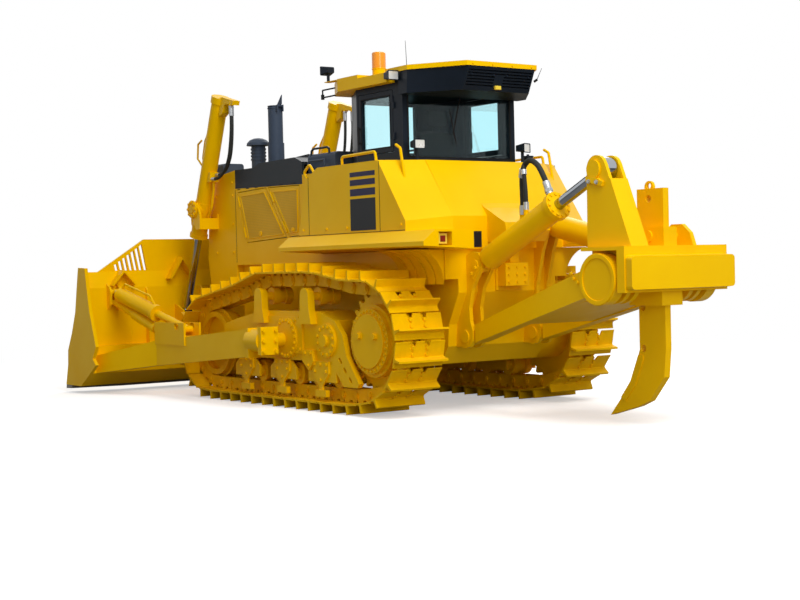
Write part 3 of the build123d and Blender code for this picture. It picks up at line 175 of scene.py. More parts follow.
# the floor's far part turns into the plain white backdrop, so that no horizon shows
where = add_node(tree, "ShaderNodeTexCoord").outputs["Object"]
reach = add_node(tree, "ShaderNodeVectorMath", {0: where}, operation="LENGTH")
fade = add_node(
    tree, "ShaderNodeMapRange", {"Value": reach.outputs["Value"], "From Min": 6.0, "From Max": 11.0}
)
white = add_node(tree, "ShaderNodeEmission", {"Color": (1, 1, 1, 1), "Strength": 1.0})
fade_seen = add_node(
    tree, "ShaderNodeMath", {0: fade.outputs["Result"], 1: seen.outputs[0]}, operation="MULTIPLY"
)
floor_end = add_node(
    tree, "ShaderNodeMixShader", {0: fade_seen.outputs[0], 1: floor_mix.outputs[0], 2: white.outputs[0]}
)
add_node(tree, "ShaderNodeOutputMaterial", {"Surface": floor_end.outputs[0]})
floor_mesh.materials.append(floor_paint)

# %% [markdown]
# ## Finishes
# Construction machines are sprayed with a two-part polyurethane enamel. It is glossy, and it shows a
# very fine orange peel. A little dust settles on it, most of all on what faces up and in corners that
# rain doesn't reach. One function mixes these three things: two tones of the paint in slow patches, a
# grain for the orange peel, and dust, which is lighter and duller, on faces that look up. A white room
# mirrored in the gloss would make deep yellow look chalky, so the gloss is held low and tinted yellow.

# %% Painted and metal finishes
def finish(
    name, colour, second, roughness, metallic=0.0, coat=0.0, grain_mm=4.0, bump=0.02, patch_mm=600.0,
    spread=0.12, dust=0.0, dust_colour="#B9A988", specular=0.3, sheen_tint="#FFFFFF",
):
    """A painted or metal surface with slow patches of tone, a fine grain and dust on what faces up."""
    made = bpy.data.materials.new(name)
    made.use_nodes = True
    tree = made.node_tree
    tree.nodes.clear()
    where = add_node(tree, "ShaderNodeTexCoord").outputs["Object"]
    patches = add_node(
        tree,
        "ShaderNodeTexNoise",
        {"Vector": where, "Scale": 1000 / patch_mm, "Detail": 6.0, "Roughness": 0.6},
    )
    tone = add_node(tree, "ShaderNodeValToRGB", {"Fac": patches.outputs["Fac"]})
    tone.color_ramp.elements[0].position = 0.35
    tone.color_ramp.elements[1].position = 0.70
    tone.color_ramp.elements[0].color = linear(colour)
    tone.color_ramp.elements[1].color = linear(second)
    gloss = add_node(
        tree,
        "ShaderNodeMapRange",
        {
            "Value": patches.outputs["Fac"],
            "From Min": 0.3,
            "From Max": 0.7,
            "To Min": roughness,
            "To Max": roughness + spread,
        },
    )
    colour_out, gloss_out = tone.outputs["Color"], gloss.outputs["Result"]
    if dust:
        slope = add_node(
            tree, "ShaderNodeSeparateXYZ", {0: add_node(tree, "ShaderNodeNewGeometry").outputs["Normal"]}
        )
        settled = add_node(
            tree,
            "ShaderNodeMapRange",
            {"Value": slope.outputs["Z"], "From Min": 0.55, "From Max": 1.0, "To Max": dust},
        )
        specks = add_node(tree, "ShaderNodeTexNoise", {"Vector": where, "Scale": 22.0, "Detail": 5.0})
        amount = add_node(
            tree,
            "ShaderNodeMath",
            {0: settled.outputs["Result"], 1: specks.outputs["Fac"]},
            operation="MULTIPLY",
        )
        dusty = add_node(
            tree,
            "ShaderNodeMix",
            {"Factor": amount.outputs[0], 6: colour_out, 7: linear(dust_colour)},
            data_type="RGBA",
        )
        dull = add_node(tree, "ShaderNodeMath", {0: gloss_out, 1: amount.outputs[0]}, operation="ADD")
        colour_out, gloss_out = dusty.outputs[2], dull.outputs[0]
    grain = add_node(tree, "ShaderNodeTexNoise", {"Vector": where, "Scale": 1000 / grain_mm, "Detail": 2.0})
    relief = add_node(
        tree, "ShaderNodeBump", {"Height": grain.outputs["Fac"], "Strength": bump, "Distance": 0.001}
    )
    shader = add_node(
        tree,
        "ShaderNodeBsdfPrincipled",
        {
            "Base Color": colour_out,
            "Roughness": gloss_out,
            "Metallic": metallic,
            "Specular IOR Level": specular,
            "Specular Tint": linear(sheen_tint),
            "Coat Weight": coat,
            "Coat Roughness": 0.15,
            "Normal": relief.outputs["Normal"],
        },
    )
    add_node(tree, "ShaderNodeOutputMaterial", {"Surface": shader.outputs[0]})
    return made


finishes = {
    "yellow_paint": finish(
        "yellow_polyurethane_enamel",
        "#FFCA00",
        "#FBC200",
        0.34,
        coat=0.02,
        dust=0.04,
        dust_colour="#D9C27A",
        sheen_tint="#FFD21A",
    ),
    "track_steel": finish(
        "painted_boron_track_steel",
        "#FCC600",
        "#EDB604",
        0.46,
        grain_mm=9,
        bump=0.15,
        patch_mm=180,
        dust=0.06,
        dust_colour="#CDB57A",
        sheen_tint="#FFD21A",
    ),
    "worn_steel": finish(
        "worn_boron_steel", "#8C857A", "#6F6A62", 0.42, metallic=0.8, grain_mm=6, bump=0.2, patch_mm=120
    ),
    "charcoal_paint": finish("charcoal_satin_enamel", "#23292E", "#2A3136", 0.42, dust=0.03, specular=0.2),
    "blue_grey_paint": finish("blue_grey_heat_paint", "#3A4657", "#435063", 0.5, dust=0.03),
    "cab_paint": finish("navy_black_cab_enamel", "#121A24", "#17202C", 0.36, dust=0.02, specular=0.15),
    "chrome": finish("hard_chrome_rod", "#AEB2B7", "#9A9FA5", 0.09, metallic=1.0, bump=0.0, spread=0.05),
    "seat_vinyl": finish("black_seat_fabric", "#17171A", "#1F1F23", 0.85, grain_mm=3, bump=0.4),
    "orange_lens": finish("orange_polycarbonate_lens", "#F9A21B", "#F08C0C", 0.15, coat=0.3),
    "black_rubber": finish("black_hose_rubber", "#20221F", "#2A2C29", 0.6, grain_mm=5, bump=0.3),
    "engine_paint": finish("grey_engine_enamel", "#6E6E68", "#5D5D58", 0.5),
}
print("finishes", len(finishes))

# %% [markdown]
# Cab glass is two sheets with a clear foil between. It is tinted a very pale cyan, which the sky-white
# room behind it brings out. A real pane is thick, but light should cross it without a second shadow, so
# the pane lets shadow rays through and only its gloss and its tint remain.

# %% Glass, lens and mesh finishes
def glass_finish(name, tint, roughness, strength):
    """A clear sheet: its tint colours what is behind it, and its gloss reflects the room."""
    made = bpy.data.materials.new(name)
    made.use_nodes = True
    tree = made.node_tree
    tree.nodes.clear()
    see = add_node(tree, "ShaderNodeBsdfTransparent", {"Color": linear(tint)})
    gloss = add_node(tree, "ShaderNodeBsdfGlossy", {"Color": linear("#FFFFFF"), "Roughness": roughness})
    edge = add_node(tree, "ShaderNodeFresnel", {"IOR": 1.45})
    share = add_node(tree, "ShaderNodeMath", {0: edge.outputs[0], 1: strength}, operation="MULTIPLY")
    pane = add_node(
        tree, "ShaderNodeMixShader", {0: share.outputs[0], 1: see.outputs[0], 2: gloss.outputs[0]}
    )
    add_node(tree, "ShaderNodeOutputMaterial", {"Surface": pane.outputs[0]})
    return made


finishes["clear_glass"] = glass_finish("laminated_cab_glass", "#EEFDFF", 0.02, 0.25)
reflector = finish("aluminised_reflector", "#F4F4F0", "#E2E2DC", 0.22, metallic=0.55, grain_mm=8, bump=0.5)
panel_navy = finish("dark_navy_film", "#12123C", "#15153F", 0.4)
plate_black = finish("black_powder_coat", "#101216", "#15181D", 0.45)
red_lens = finish("red_acrylic_lens", "#7E0E08", "#8E140C", 0.25, coat=0.4)
pale_yellow = finish("pale_yellow_enamel", "#F6D84A", "#EFCF3C", 0.4)
zinc = finish(
    "zinc_plated_steel", "#B9BCBE", "#A4A8AB", 0.32, metallic=0.9, grain_mm=3, bump=0.1, patch_mm=60
)
# near-black: the rubber of seals, wipers and brackets, and also painted shade inside the hood's slots and the
# mouth by the fuel tank
seal_rubber_and_painted_shade = finish("shadowed_rubber_seal", "#0B0C0E", "#121316", 0.7)


def perforated(name, colour, second, pitch_mm):
    """Painted sheet with rows of small round holes; the holes are drawn as dark dents."""
    made = finish(name, colour, second, 0.45)
    tree = made.node_tree
    shader = next(n for n in tree.nodes if n.type == "BSDF_PRINCIPLED")
    where = add_node(tree, "ShaderNodeTexCoord").outputs["Object"]
    cells = add_node(
        tree,
        "ShaderNodeTexVoronoi",
        {"Vector": where, "Scale": 1000 / pitch_mm, "Randomness": 0.0},
        feature="F1",
    )
    hole = add_node(
        tree, "ShaderNodeMapRange", {
            "Value": cells.outputs["Distance"],
            "From Min": 0.38,
            "From Max": 0.46,
            "To Min": 0.82,
            "To Max": 1.0,
        }
    )
    paint = shader.inputs["Base Color"].links[0].from_socket
    darker = add_node(
        tree,
        "ShaderNodeMix",
        {"Factor": 1.0, 6: paint, 7: hole.outputs["Result"]},
        data_type="RGBA",
        blend_type="MULTIPLY",
    )
    tree.links.new(darker.outputs[2], shader.inputs["Base Color"])
    return made


ochre_mesh = perforated("ochre_perforated_sheet", "#F0BC04", "#E2AE06", 18.0)
black_mesh = perforated("black_perforated_sheet", "#1A1C20", "#15171A", 22.0)

for part in frame["record"]["subparts"]:
    mesh = frame["nodes"][part["node"]].data
    mesh.materials.clear()
    mesh.materials.append(finishes[part["material_slot"]])
print("finishes with the trim's own", len(finishes) + 9)

# %% [markdown]
# ## Making pieces
# Plates and bars make up most of a machine like this. A plate is an outline pushed along a line, and a
# bar is a ring of points pushed along another, so two short functions build nearly every piece, and a
# third one turns the result into an object. A narrow bevel follows, since no real edge is a perfect
# corner: the bevel is what catches the light.

# %% Plates and bars
def side_points(x, outline):
    """An outline of stations and heights, on a plane that faces the machine's side."""
    return [place(x, station, height) for station, height in outline]


def across_points(station, outline):
    """An outline of X values and heights, on a plane across the machine."""
    return [place(x, station, height) for x, height in outline]


def level_points(height, outline):
    """An outline of X values and stations, on a level plane."""
    return [place(x, station, height) for x, station in outline]


def plate(bm, corners, rise):
    """A plate: an outline of corners, pushed along a vector."""
    rise = Vector(rise)
    low = [bm.verts.new(c) for c in corners]
    high = [bm.verts.new(c + rise) for c in corners]
    bm.faces.new(low[::-1])
    bm.faces.new(high)
    for i, corner in enumerate(low):
        after = (i + 1) % len(low)
        bm.faces.new((corner, low[after], high[after], high[i]))


def box(bm, x, station, height):
    """A box between two X values, two stations and two heights."""
    outline = [(x[0], station[0]), (x[1], station[0]), (x[1], station[1]), (x[0], station[1])]
    plate(bm, level_points(height[0], outline), (0, 0, height[1] - height[0]))


def bar(bm, start, end, radius, sides=20, end_radius=None):
    """A round bar or a cone between two points."""
    start, end = Vector(start), Vector(end)
    turn = (end - start).to_track_quat("Z", "Y")
    rings = []
    for centre, size in ((start, radius), (end, radius if end_radius is None else end_radius)):
        rings.append([
            bm.verts.new(centre + turn @ Vector((size * math.cos(a), size * math.sin(a), 0)))
            for a in (2 * math.pi * i / sides for i in range(sides))
        ])
    bm.faces.new(rings[0][::-1])
    bm.faces.new(rings[1])
    for i in range(sides):
        after = (i + 1) % sides
        bm.faces.new((rings[0][i], rings[0][after], rings[1][after], rings[1][i]))


def ring_of_points(x, station, height, radius, count, start=0.0):
    """Places on a circle on a plane that faces the machine's side."""
    angles = (start + 2 * math.pi * i / count for i in range(count))
    return [place(x, station + radius * math.cos(a), height + radius * math.sin(a)) for a in angles]


def piece(bm, name, body, slot, material=None, bevel=0.002):
    """Turn a mesh in the making into a named piece that rides on a body."""
    bmesh.ops.recalc_face_normals(bm, faces=bm.faces[:])
    mesh = bpy.data.meshes.new(name)
    bm.to_mesh(mesh)
    bm.free()
    mesh.materials.append(material or finishes[slot])
    mesh.polygons.foreach_set("use_smooth", [True] * len(mesh.polygons))
    mesh.set_sharp_from_angle(angle=math.radians(35))
    made = bpy.data.objects.new(name, mesh)
    bpy.context.collection.objects.link(made)
    if bevel:
        edge = made.modifiers.new("edge", "BEVEL")
        edge.width = bevel
        edge.segments = 2
        edge.limit_method = "ANGLE"
        edge.angle_limit = math.radians(40)
        edge.harden_normals = False
    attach(made, body)
    return made


def mirrored(places):
    """The same places on the left and on the right of the machine."""
    return [Vector(p) for p in places] + [Vector((-p[0], p[1], p[2])) for p in places]


# %% [markdown]
# What repeats is made by Geometry Nodes. Three small trees do for the whole machine: one sets a hex
# screw with its washer on every point and turns it to face the way that the point says, one sets a
# pattern piece such as a track shoe on every point, and one lays out a row of slats. Each tree ends
# by making the copies real and giving them their finish.

# %% Trees that repeat a piece
def new_tree(name, *sockets):
    """A Geometry Nodes tree with named inputs; returns it with its input and output nodes."""
    tree = bpy.data.node_groups.new(name, "GeometryNodeTree")
    tree.interface.new_socket("Geometry", in_out="INPUT", socket_type="NodeSocketGeometry")
    for label, kind in sockets:
        tree.interface.new_socket(label, in_out="INPUT", socket_type="NodeSocket" + kind)
    tree.interface.new_socket("Geometry", in_out="OUTPUT", socket_type="NodeSocketGeometry")
    return tree, add_node(tree, "NodeGroupInput"), add_node(tree, "NodeGroupOutput")


def close_tree(tree, given, out, geometry):
    """Make the copies real, set their finish and hand them on."""
    real = add_node(tree, "GeometryNodeRealizeInstances", {"Geometry": geometry})
    painted = add_node(
        tree, "GeometryNodeSetMaterial", {"Geometry": real.outputs[0], "Material": given.outputs["Finish"]}
    )
    tree.links.new(painted.outputs[0], out.inputs["Geometry"])


screw_tree, given, out = new_tree(
    "hex_screws", ("Across Flats", "Float"), ("Head Height", "Float"), ("Finish", "Material")
)
half_head = add_node(
    screw_tree, "ShaderNodeMath", {0: given.outputs["Head Height"], 1: 0.5}, operation="MULTIPLY"
)
corner = add_node(
    screw_tree, "ShaderNodeMath", {0: given.outputs["Across Flats"], 1: 0.577}, operation="MULTIPLY"
)
washer_size = add_node(
    screw_tree, "ShaderNodeMath", {0: given.outputs["Across Flats"], 1: 0.72}, operation="MULTIPLY"
)
washer_height = add_node(
    screw_tree, "ShaderNodeMath", {0: given.outputs["Head Height"], 1: 0.5}, operation="MULTIPLY"
)
lift = add_node(screw_tree, "ShaderNodeCombineXYZ", {"Z": half_head.outputs[0]})
head = add_node(
    screw_tree,
    "GeometryNodeMeshCylinder",
    {"Vertices": 6, "Radius": corner.outputs[0], "Depth": given.outputs["Head Height"]},
)
head_up = add_node(
    screw_tree, "GeometryNodeTransform", {"Geometry": head.outputs["Mesh"], "Translation": lift.outputs[0]}
)
washer = add_node(
    screw_tree,
    "GeometryNodeMeshCylinder",
    {"Vertices": 12, "Radius": washer_size.outputs[0], "Depth": washer_height.outputs[0]},
)
screw = add_node(screw_tree, "GeometryNodeJoinGeometry")
screw_tree.links.new(washer.outputs["Mesh"], screw.inputs[0])
screw_tree.links.new(head_up.outputs[0], screw.inputs[0])
facing = add_node(screw_tree, "GeometryNodeInputNamedAttribute", {"Name": "facing"}, data_type="FLOAT_VECTOR")
aim = add_node(
    screw_tree, "FunctionNodeAlignRotationToVector", {"Vector": facing.outputs["Attribute"]}, axis="Z"
)
copies = add_node(
    screw_tree,
    "GeometryNodeInstanceOnPoints",
    {"Points": given.outputs["Geometry"], "Instance": screw.outputs[0], "Rotation": aim.outputs[0]},
)
close_tree(screw_tree, given, out, copies.outputs[0])

pattern_tree, given, out = new_tree("pattern_pieces", ("Pattern", "Object"), ("Finish", "Material"))
pattern = add_node(pattern_tree, "GeometryNodeObjectInfo", {"Object": given.outputs["Pattern"]})
turned = add_node(
    pattern_tree, "GeometryNodeInputNamedAttribute", {"Name": "facing"}, data_type="FLOAT_VECTOR"
)
swing = add_node(pattern_tree, "FunctionNodeEulerToRotation", {0: turned.outputs["Attribute"]})
copies = add_node(
    pattern_tree,
    "GeometryNodeInstanceOnPoints",
    {
        "Points": given.outputs["Geometry"],
        "Instance": pattern.outputs["Geometry"],
        "Rotation": swing.outputs[0],
    },
)
close_tree(pattern_tree, given, out, copies.outputs[0])

slat_tree, given, out = new_tree(
    "slat_row",
    ("Count", "Int"), ("Step", "Vector"), ("Size", "Vector"), ("Turn", "Vector"), ("Finish", "Material"),
)
row = add_node(
    slat_tree,
    "GeometryNodeMeshLine",
    {"Count": given.outputs["Count"], "Offset": given.outputs["Step"]},
    mode="OFFSET",
)
slat = add_node(slat_tree, "GeometryNodeMeshCube", {"Size": given.outputs["Size"]})
tilt = add_node(slat_tree, "FunctionNodeEulerToRotation", {0: given.outputs["Turn"]})
copies = add_node(
    slat_tree,
    "GeometryNodeInstanceOnPoints",
    {"Points": row.outputs[0], "Instance": slat.outputs["Mesh"], "Rotation": tilt.outputs[0]},
)
start = add_node(slat_tree, "GeometryNodeInputPosition")
origin = add_node(
    slat_tree,
    "GeometryNodeAttributeStatistic",
    {"Geometry": given.outputs["Geometry"], "Attribute": start.outputs[0]},
    data_type="FLOAT_VECTOR",
)
moved = add_node(
    slat_tree, "GeometryNodeTransform", {"Geometry": copies.outputs[0], "Translation": origin.outputs["Mean"]}
)
close_tree(slat_tree, given, out, moved.outputs[0])
print("trees", len(bpy.data.node_groups))


# %% [markdown]
# To use a tree, its points go into a small mesh that carries the attribute `facing`. The modifier's
# inputs are set by their sockets' identifiers, the result is read back as a plain mesh, and the points
# and the modifier are thrown away.

# %% Grow a piece from points
def grow(name, tree, body, slot, points, facings=None, material=None, **inputs):
    """Run a tree on points and keep its result as a piece that rides on a body."""
    mesh = bpy.data.meshes.new(name + "_points")
    mesh.from_pydata([tuple(p) for p in points], [], [])
    if facings:
        attribute = mesh.attributes.new("facing", "FLOAT_VECTOR", "POINT")
        attribute.data.foreach_set("vector", [c for f in facings for c in f])
    seed = bpy.data.objects.new(name + "_points", mesh)
    bpy.context.collection.objects.link(seed)
    modifier = seed.modifiers.new("nodes", "NODES")
    modifier.node_group = tree
    values = {key.replace("_", " "): value for key, value in inputs.items()}
    values["Finish"] = material or finishes[slot]
    for socket in tree.interface.items_tree:
        if socket.in_out == "INPUT" and socket.name in values:
            modifier[socket.identifier] = values[socket.name]
    evaluated = seed.evaluated_get(bpy.context.evaluated_depsgraph_get())
    result = bpy.data.meshes.new_from_object(evaluated)
    bpy.data.objects.remove(seed)
    made = bpy.data.objects.new(name, result)
    bpy.context.collection.objects.link(made)
    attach(made, body)
    return made


def screws(name, body, points, facing, across_flats=0.03, slot="yellow_paint", material=None):
    """Hex screws on points; facing is one vector for all, or one for each."""
    facings = facing if isinstance(facing, list) else [facing] * len(points)
    return grow(
        name, screw_tree, body, slot, points, facings, material,
        Across_Flats=across_flats, Head_Height=across_flats * 0.55,
    )


LEFT, RIGHT, REAR = Vector((1, 0, 0)), Vector((-1, 0, 0)), Vector((0, 1, 0))


def side_screws(name, body, points, across_flats=0.03, **more):
    """The same screws on both sides of the machine, each facing outwards."""
    return screws(
        name, body, mirrored(points), [LEFT] * len(points) + [RIGHT] * len(points), across_flats, **more
    )


# %% [markdown]
# ## Tracks
# A track is a chain of forged links with a steel shoe bolted on every pitch. Each shoe has one tall
# grouser, a lip that laps over the next shoe, and two notches in its edge that let mud fall out at the
# chain. CAD gives the loop as one solid. Here one shoe and one pair of links are made, and placed 41
# times along the same loop: a straight run on the ground, half a turn round the sprocket, the upper run
# over the two carrier rollers, and half a turn round the idler.

# %% Walk round the loop
SHOE_COUNT = 41
SPROCKET = (0.0, 0.711, 0.4956)
IDLER = (-3.165, 0.605, 0.430)
UPPER_RUN = [
    (-0.30, 1.2033), (-0.56, 1.2473), (-0.89, 1.2953), (-1.93, 1.2953), (-2.431, 1.1673), (-2.845, 1.0983)
]
LIFT_OFF = (-0.23, 0.175)


def touch(wheel, point, side):
    """The angle at which a line from a point touches a wheel."""
    gap = math.hypot(point[0] - wheel[0], point[1] - wheel[1])
    towards = math.atan2(point[1] - wheel[1], point[0] - wheel[0])
    return towards + side * math.acos(wheel[2] / gap)


def arc(wheel, first, last, steps=240):
    """Points along a wheel's rim."""
    angles = (first + (last - first) * i / steps for i in range(steps + 1))
    return [(wheel[0] + wheel[2] * math.cos(a), wheel[1] + wheel[2] * math.sin(a)) for a in angles]


low, high = touch(SPROCKET, LIFT_OFF, 1), touch(SPROCKET, UPPER_RUN[0], -1)
over = touch(IDLER, UPPER_RUN[-1], 1)
low, high = (a % (2 * math.pi) for a in (low, high))
loop = [(IDLER[0], IDLER[1] - IDLER[2]), LIFT_OFF]
loop += arc(SPROCKET, low - 2 * math.pi if low > high else low, high)
loop += UPPER_RUN
loop += arc(IDLER, over % (2 * math.pi), 1.5 * math.pi)
runs = [math.dist(a, b) for a, b in zip(loop, loop[1:])]
pitch_length = sum(runs) / SHOE_COUNT
pins = []
for i in range(SHOE_COUNT):
    left_over = (i + 0.5) * pitch_length
    for a, b, run in zip(loop, loop[1:], runs):
        if left_over <= run:
            pins.append((a[0] + (b[0] - a[0]) * left_over / run, a[1] + (b[1] - a[1]) * left_over / run))
            break
        left_over -= run
print("pitch of the track", round(pitch_length * 1000, 2), "mm, first pin", [round(c, 4) for c in pins[0]])

# %% [markdown]
# The shoe's section is drawn once, from the edge that the shoe before laps over to its own lip. It is
# pushed across the shoe's width in steps, and at the two notches the lip's points step back.

# %% One shoe and one pair of links
SHOE_HALF = 0.280
SHOE_SECTION = [  # along the pitch, then out from the plate's inner face
    (
        -0.006, -0.003
    ), (0.030, -0.001), (0.222, 0.0), (0.236, 0.008), (0.240, 0.016), (0.234, 0.021), (0.212, 0.018),
    (0.092, 0.018), (0.083, 0.030), (0.0785, 0.100), (
        0.0600, 0.1025
    ), (0.0555, 0.030), (0.046, 0.018), (0.028, 0.013),
    (-0.006, 0.009),
]
PLATE_INSIDE = 0.072
NOTCH = (0.052, 0.108)
NOTCH_DEPTH = 0.034
LIP = 0.205


def shoe_mesh():
    """A track shoe centred on the chain, in the plane of its first pin."""
    bm = bmesh.new()
    slope = 0.008
    steps = [(-SHOE_HALF, 0)]
    for near, far in ((-NOTCH[1], -NOTCH[0]), (NOTCH[0], NOTCH[1])):
        steps += [(near - slope, 0), (near + slope, 1), (far - slope, 1), (far + slope, 0)]
    steps.append((SHOE_HALF, 0))
    rings = []
    for x, notched in steps:
        ring = []
        for along, out in SHOE_SECTION:
            if notched and along > LIP:
                along = LIP - NOTCH_DEPTH + (along - LIP) * 0.1
                out = min(out, 0.018)
            ring.append(bm.verts.new((x, along, out + PLATE_INSIDE)))
        rings.append(ring)
    for near, far in zip(rings, rings[1:]):
        for i in range(len(near)):
            after = (i + 1) % len(near)
            bm.faces.new((near[i], near[after], far[after], far[i]))
    bm.faces.new(rings[0])
    bm.faces.new(rings[-1][::-1])
    return bm


LINK = [  # along the pitch, then out from the pin line: shoe side first, then rail side
    (
        0.020, 0.072
    ), (0.086, 0.072), (0.090, 0.050), (0.138, 0.050), (0.142, 0.072), (0.206, 0.072), (0.214, 0.038),
    (0.244, 0.032), (0.262, 0.0), (0.244, -0.034), (0.212, -0.052), (0.190, -0.060), (0.010, -0.060), (
        -0.022, -0.046
    ),
    (-0.038, -0.020), (-0.038, 0.018), (-0.020, 0.040), (0.010, 0.044),
]


def links_mesh():
    """Left and right link of one pitch, with their pin's ends."""
    bm = bmesh.new()
    for turn in (-1, 1):
        inner, outer = turn * 0.062, turn * 0.098
        step = turn * 0.014
        low = [bm.verts.new((inner + step * (0.5 - u / 0.226), u, v)) for u, v in LINK]
        high = [bm.verts.new((outer + step * (0.5 - u / 0.226), u, v)) for u, v in LINK]
        bm.faces.new(low)
        bm.faces.new(high[::-1])
        for i in range(len(low)):
            after = (i + 1) % len(low)
            bm.faces.new((low[i], low[after], high[after], high[i]))
        bar(bm, (turn * 0.040, 0, 0), (turn * 0.116, 0, 0), 0.030, sides=14)
        bar(bm, (turn * 0.040, 0, 0), (turn * 0.122, 0, 0), 0.017, sides=10)
    return bm


def shoe_screws_mesh():
    """The four screws of one shoe, with the heads on its outside."""
    bm = bmesh.new()
    for x in (-0.080, 0.080):
        for along in (0.118, 0.178):
            foot = Vector((x, along, PLATE_INSIDE + 0.016))
            bar(bm, foot, foot + Vector((0, 0, 0.016)), 0.020, sides=6)
    return bm


patterns = {}
for label, bm in (("shoe", shoe_mesh()), ("links", links_mesh()), ("shoe_screws", shoe_screws_mesh())):
    bmesh.ops.recalc_face_normals(bm, faces=bm.faces[:])
    mesh = bpy.data.meshes.new(label)
    bm.to_mesh(mesh)
    bm.free()
    patterns[label] = bpy.data.objects.new(label, mesh)
    print(label, len(mesh.polygons), "faces")

# %% Lay the shoes and links along the loop
TRACK_X = 1.070
for side_name, x in (("left", TRACK_X), ("right", -TRACK_X)):
    # each pattern is turned so that its Y follows the chain and its +Z looks out of the loop
    spots, turns = [], []
    for (y0, z0), (y1, z1) in zip(pins, pins[1:] + pins[:1]):
        spots.append(place(x, y0, z0))
        along = Vector((0, y1 - y0, z1 - z0)).normalized()
        outward = Vector((0, along.z, -along.y))
        basis = Matrix((along.cross(outward), along, outward)).transposed()
        turns.append(tuple(basis.to_euler()))
    for label, pattern_object in patterns.items():
        made = grow(
            f"track_{side_name}_{label}", pattern_tree, "machine", "track_steel", spots, turns,
            Pattern=pattern_object,
        )
        if label == "shoe":
            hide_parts(f"track_{side_name}")
        print(made.name, len(made.data.polygons), "faces")
for pattern_object in patterns.values():
    bpy.data.objects.remove(pattern_object)

# %% [markdown]
# ## Screws
# Covers, hubs and caps are held by hex screws, and rows and rings of them tell the eye how large the
# machine is. Each set below is a list of places and one direction, and the screw tree does the rest.
# The final drive's cover has thirty screws round its rim and two oil plugs.

# %% Screws of the undercarriage
HUB_FACE, HUB_CAP = 1.245, 1.267
hub = ring_of_points(HUB_FACE, 0.0, 0.711, 0.283, 30)
plugs = [place(HUB_CAP, -0.13, 0.76), place(HUB_CAP, 0.13, 0.76)]
side_screws("hub_screws", "machine", hub, 0.024)
side_screws("hub_plugs", "machine", plugs, 0.055)
idler_ring = ring_of_points(1.135, -3.165, 0.605, 0.10, 8)
side_screws("idler_screws", "machine", idler_ring, 0.028)
frame_sets = ring_of_points(1.312, -1.42, 0.710, 0.180, 18, 0.1)
frame_sets += ring_of_points(1.300, -0.690, 0.700, 0.138, 12, 0.2)
frame_sets += [
    place(1.292, y, z) for y, z in ((-1.85, 0.89), (-1.55, 0.89), (-1.26, 0.89), (-1.17, 0.60), (-1.82, 0.64))
]
frame_sets += [place(1.315, y, z) for y, z in ((-1.04, 0.57), (-0.94, 0.57), (-0.99, 0.45))]
for middle in (-2.284, -1.543, -0.802):
    frame_sets += [
        place(1.290, middle + y, z) for y, z in (
            (-0.11, 0.465), (0.0, 0.465), (0.11, 0.465), (-0.10, 0.395), (0.10, 0.395), (0.0, 0.31)
        )
    ]
side_screws("track_frame_screws", "machine", frame_sets, 0.026)
arm_cap = [place(x, -1.335, z) for x in (1.475, 1.615) for z in (0.590, 0.695, 0.800)]
screws("push_arm_cap_screws", "blade_gear", mirrored(arm_cap), REAR, 0.036)
print("undercarriage screws", 2 * (len(hub) + len(plugs) + len(idler_ring) + len(frame_sets) + len(arm_cap)))

# %% [markdown]
# The cutting edge is a row of hardened plates, so that a worn one can be changed. Flat-headed plough
# bolts hold them, and from the front they show as a dotted line just above the ground.

# %% Bolts of the cutting edge and screws of the body
edge_bolts = []
for i in range(-13, 14):
    x = 0.15 * i
    reach = max(0.0, (abs(x) - 1.45) / 0.615)
    edge_bolts.append(place(x, -5.139 - 0.152 * reach, 0.068))
screws("edge_bolts", "blade_gear", edge_bolts, Vector((0, -0.87, 0.49)), 0.038, "worn_steel")
body_screws = [
    place(0.680, y, z)
    for y, z in ((-3.58, 2.43), (-3.58, 2.28), (-3.58, 1.95), (-3.58, 1.62), (-3.98, 1.62), (-3.98, 2.28))
]
body_screws += [place(1.100, y, z) for y, z in ((-1.36, 1.80), (-0.92, 1.80), (-0.55, 1.80), (0.36, 1.80))]
side_screws("body_screws", "machine", body_screws, 0.022)
cap_screws = [place(x, 0.548, 3.312) for x in (-0.36, -0.12, 0.12, 0.36)]
screws("roof_cap_screws", "machine", cap_screws, REAR, 0.018)
louvre_screws = [place(x, 0.512, 3.215) for x in (-0.35, -0.08, 0.08, 0.35)]
screws("louvre_screws", "machine", louvre_screws, REAR, 0.014, "cab_paint")
keepers = [
    Vector((0.417 + 0.097, 0.695 + SPROCKET_Y + y, 1.410 + z)) for y, z in ((-0.045, -0.085), (0.015, -0.030))
]
screws("keeper_screws", "machine", keepers, LEFT, 0.028)
boss_screws = [place(0.602, 2.16 + y, 1.27 + z) for y, z in ((0.0, 0.0), (0.05, -0.03), (-0.03, 0.045))]
side_screws("boss_screws", "ripper_frame", boss_screws, 0.024)
mast_screws = [place(0.541, y, z) for y, z in ((2.305, 2.085), (2.400, 2.075))]
screws("mast_keeper_screws", "ripper_tool", mast_screws, LEFT, 0.026, "chrome", zinc)
print("edge bolts", len(edge_bolts))

# %% [markdown]
# ## Side panels
# The engine bay's doors carry an insert of perforated sheet, which lets warm air out. The insert sits
# on the door leaf inside a narrow bead. Each insert rides on its own door, so it swings with it. The
# pattern of holes is drawn by the material, because thousands of real holes would only cost time.

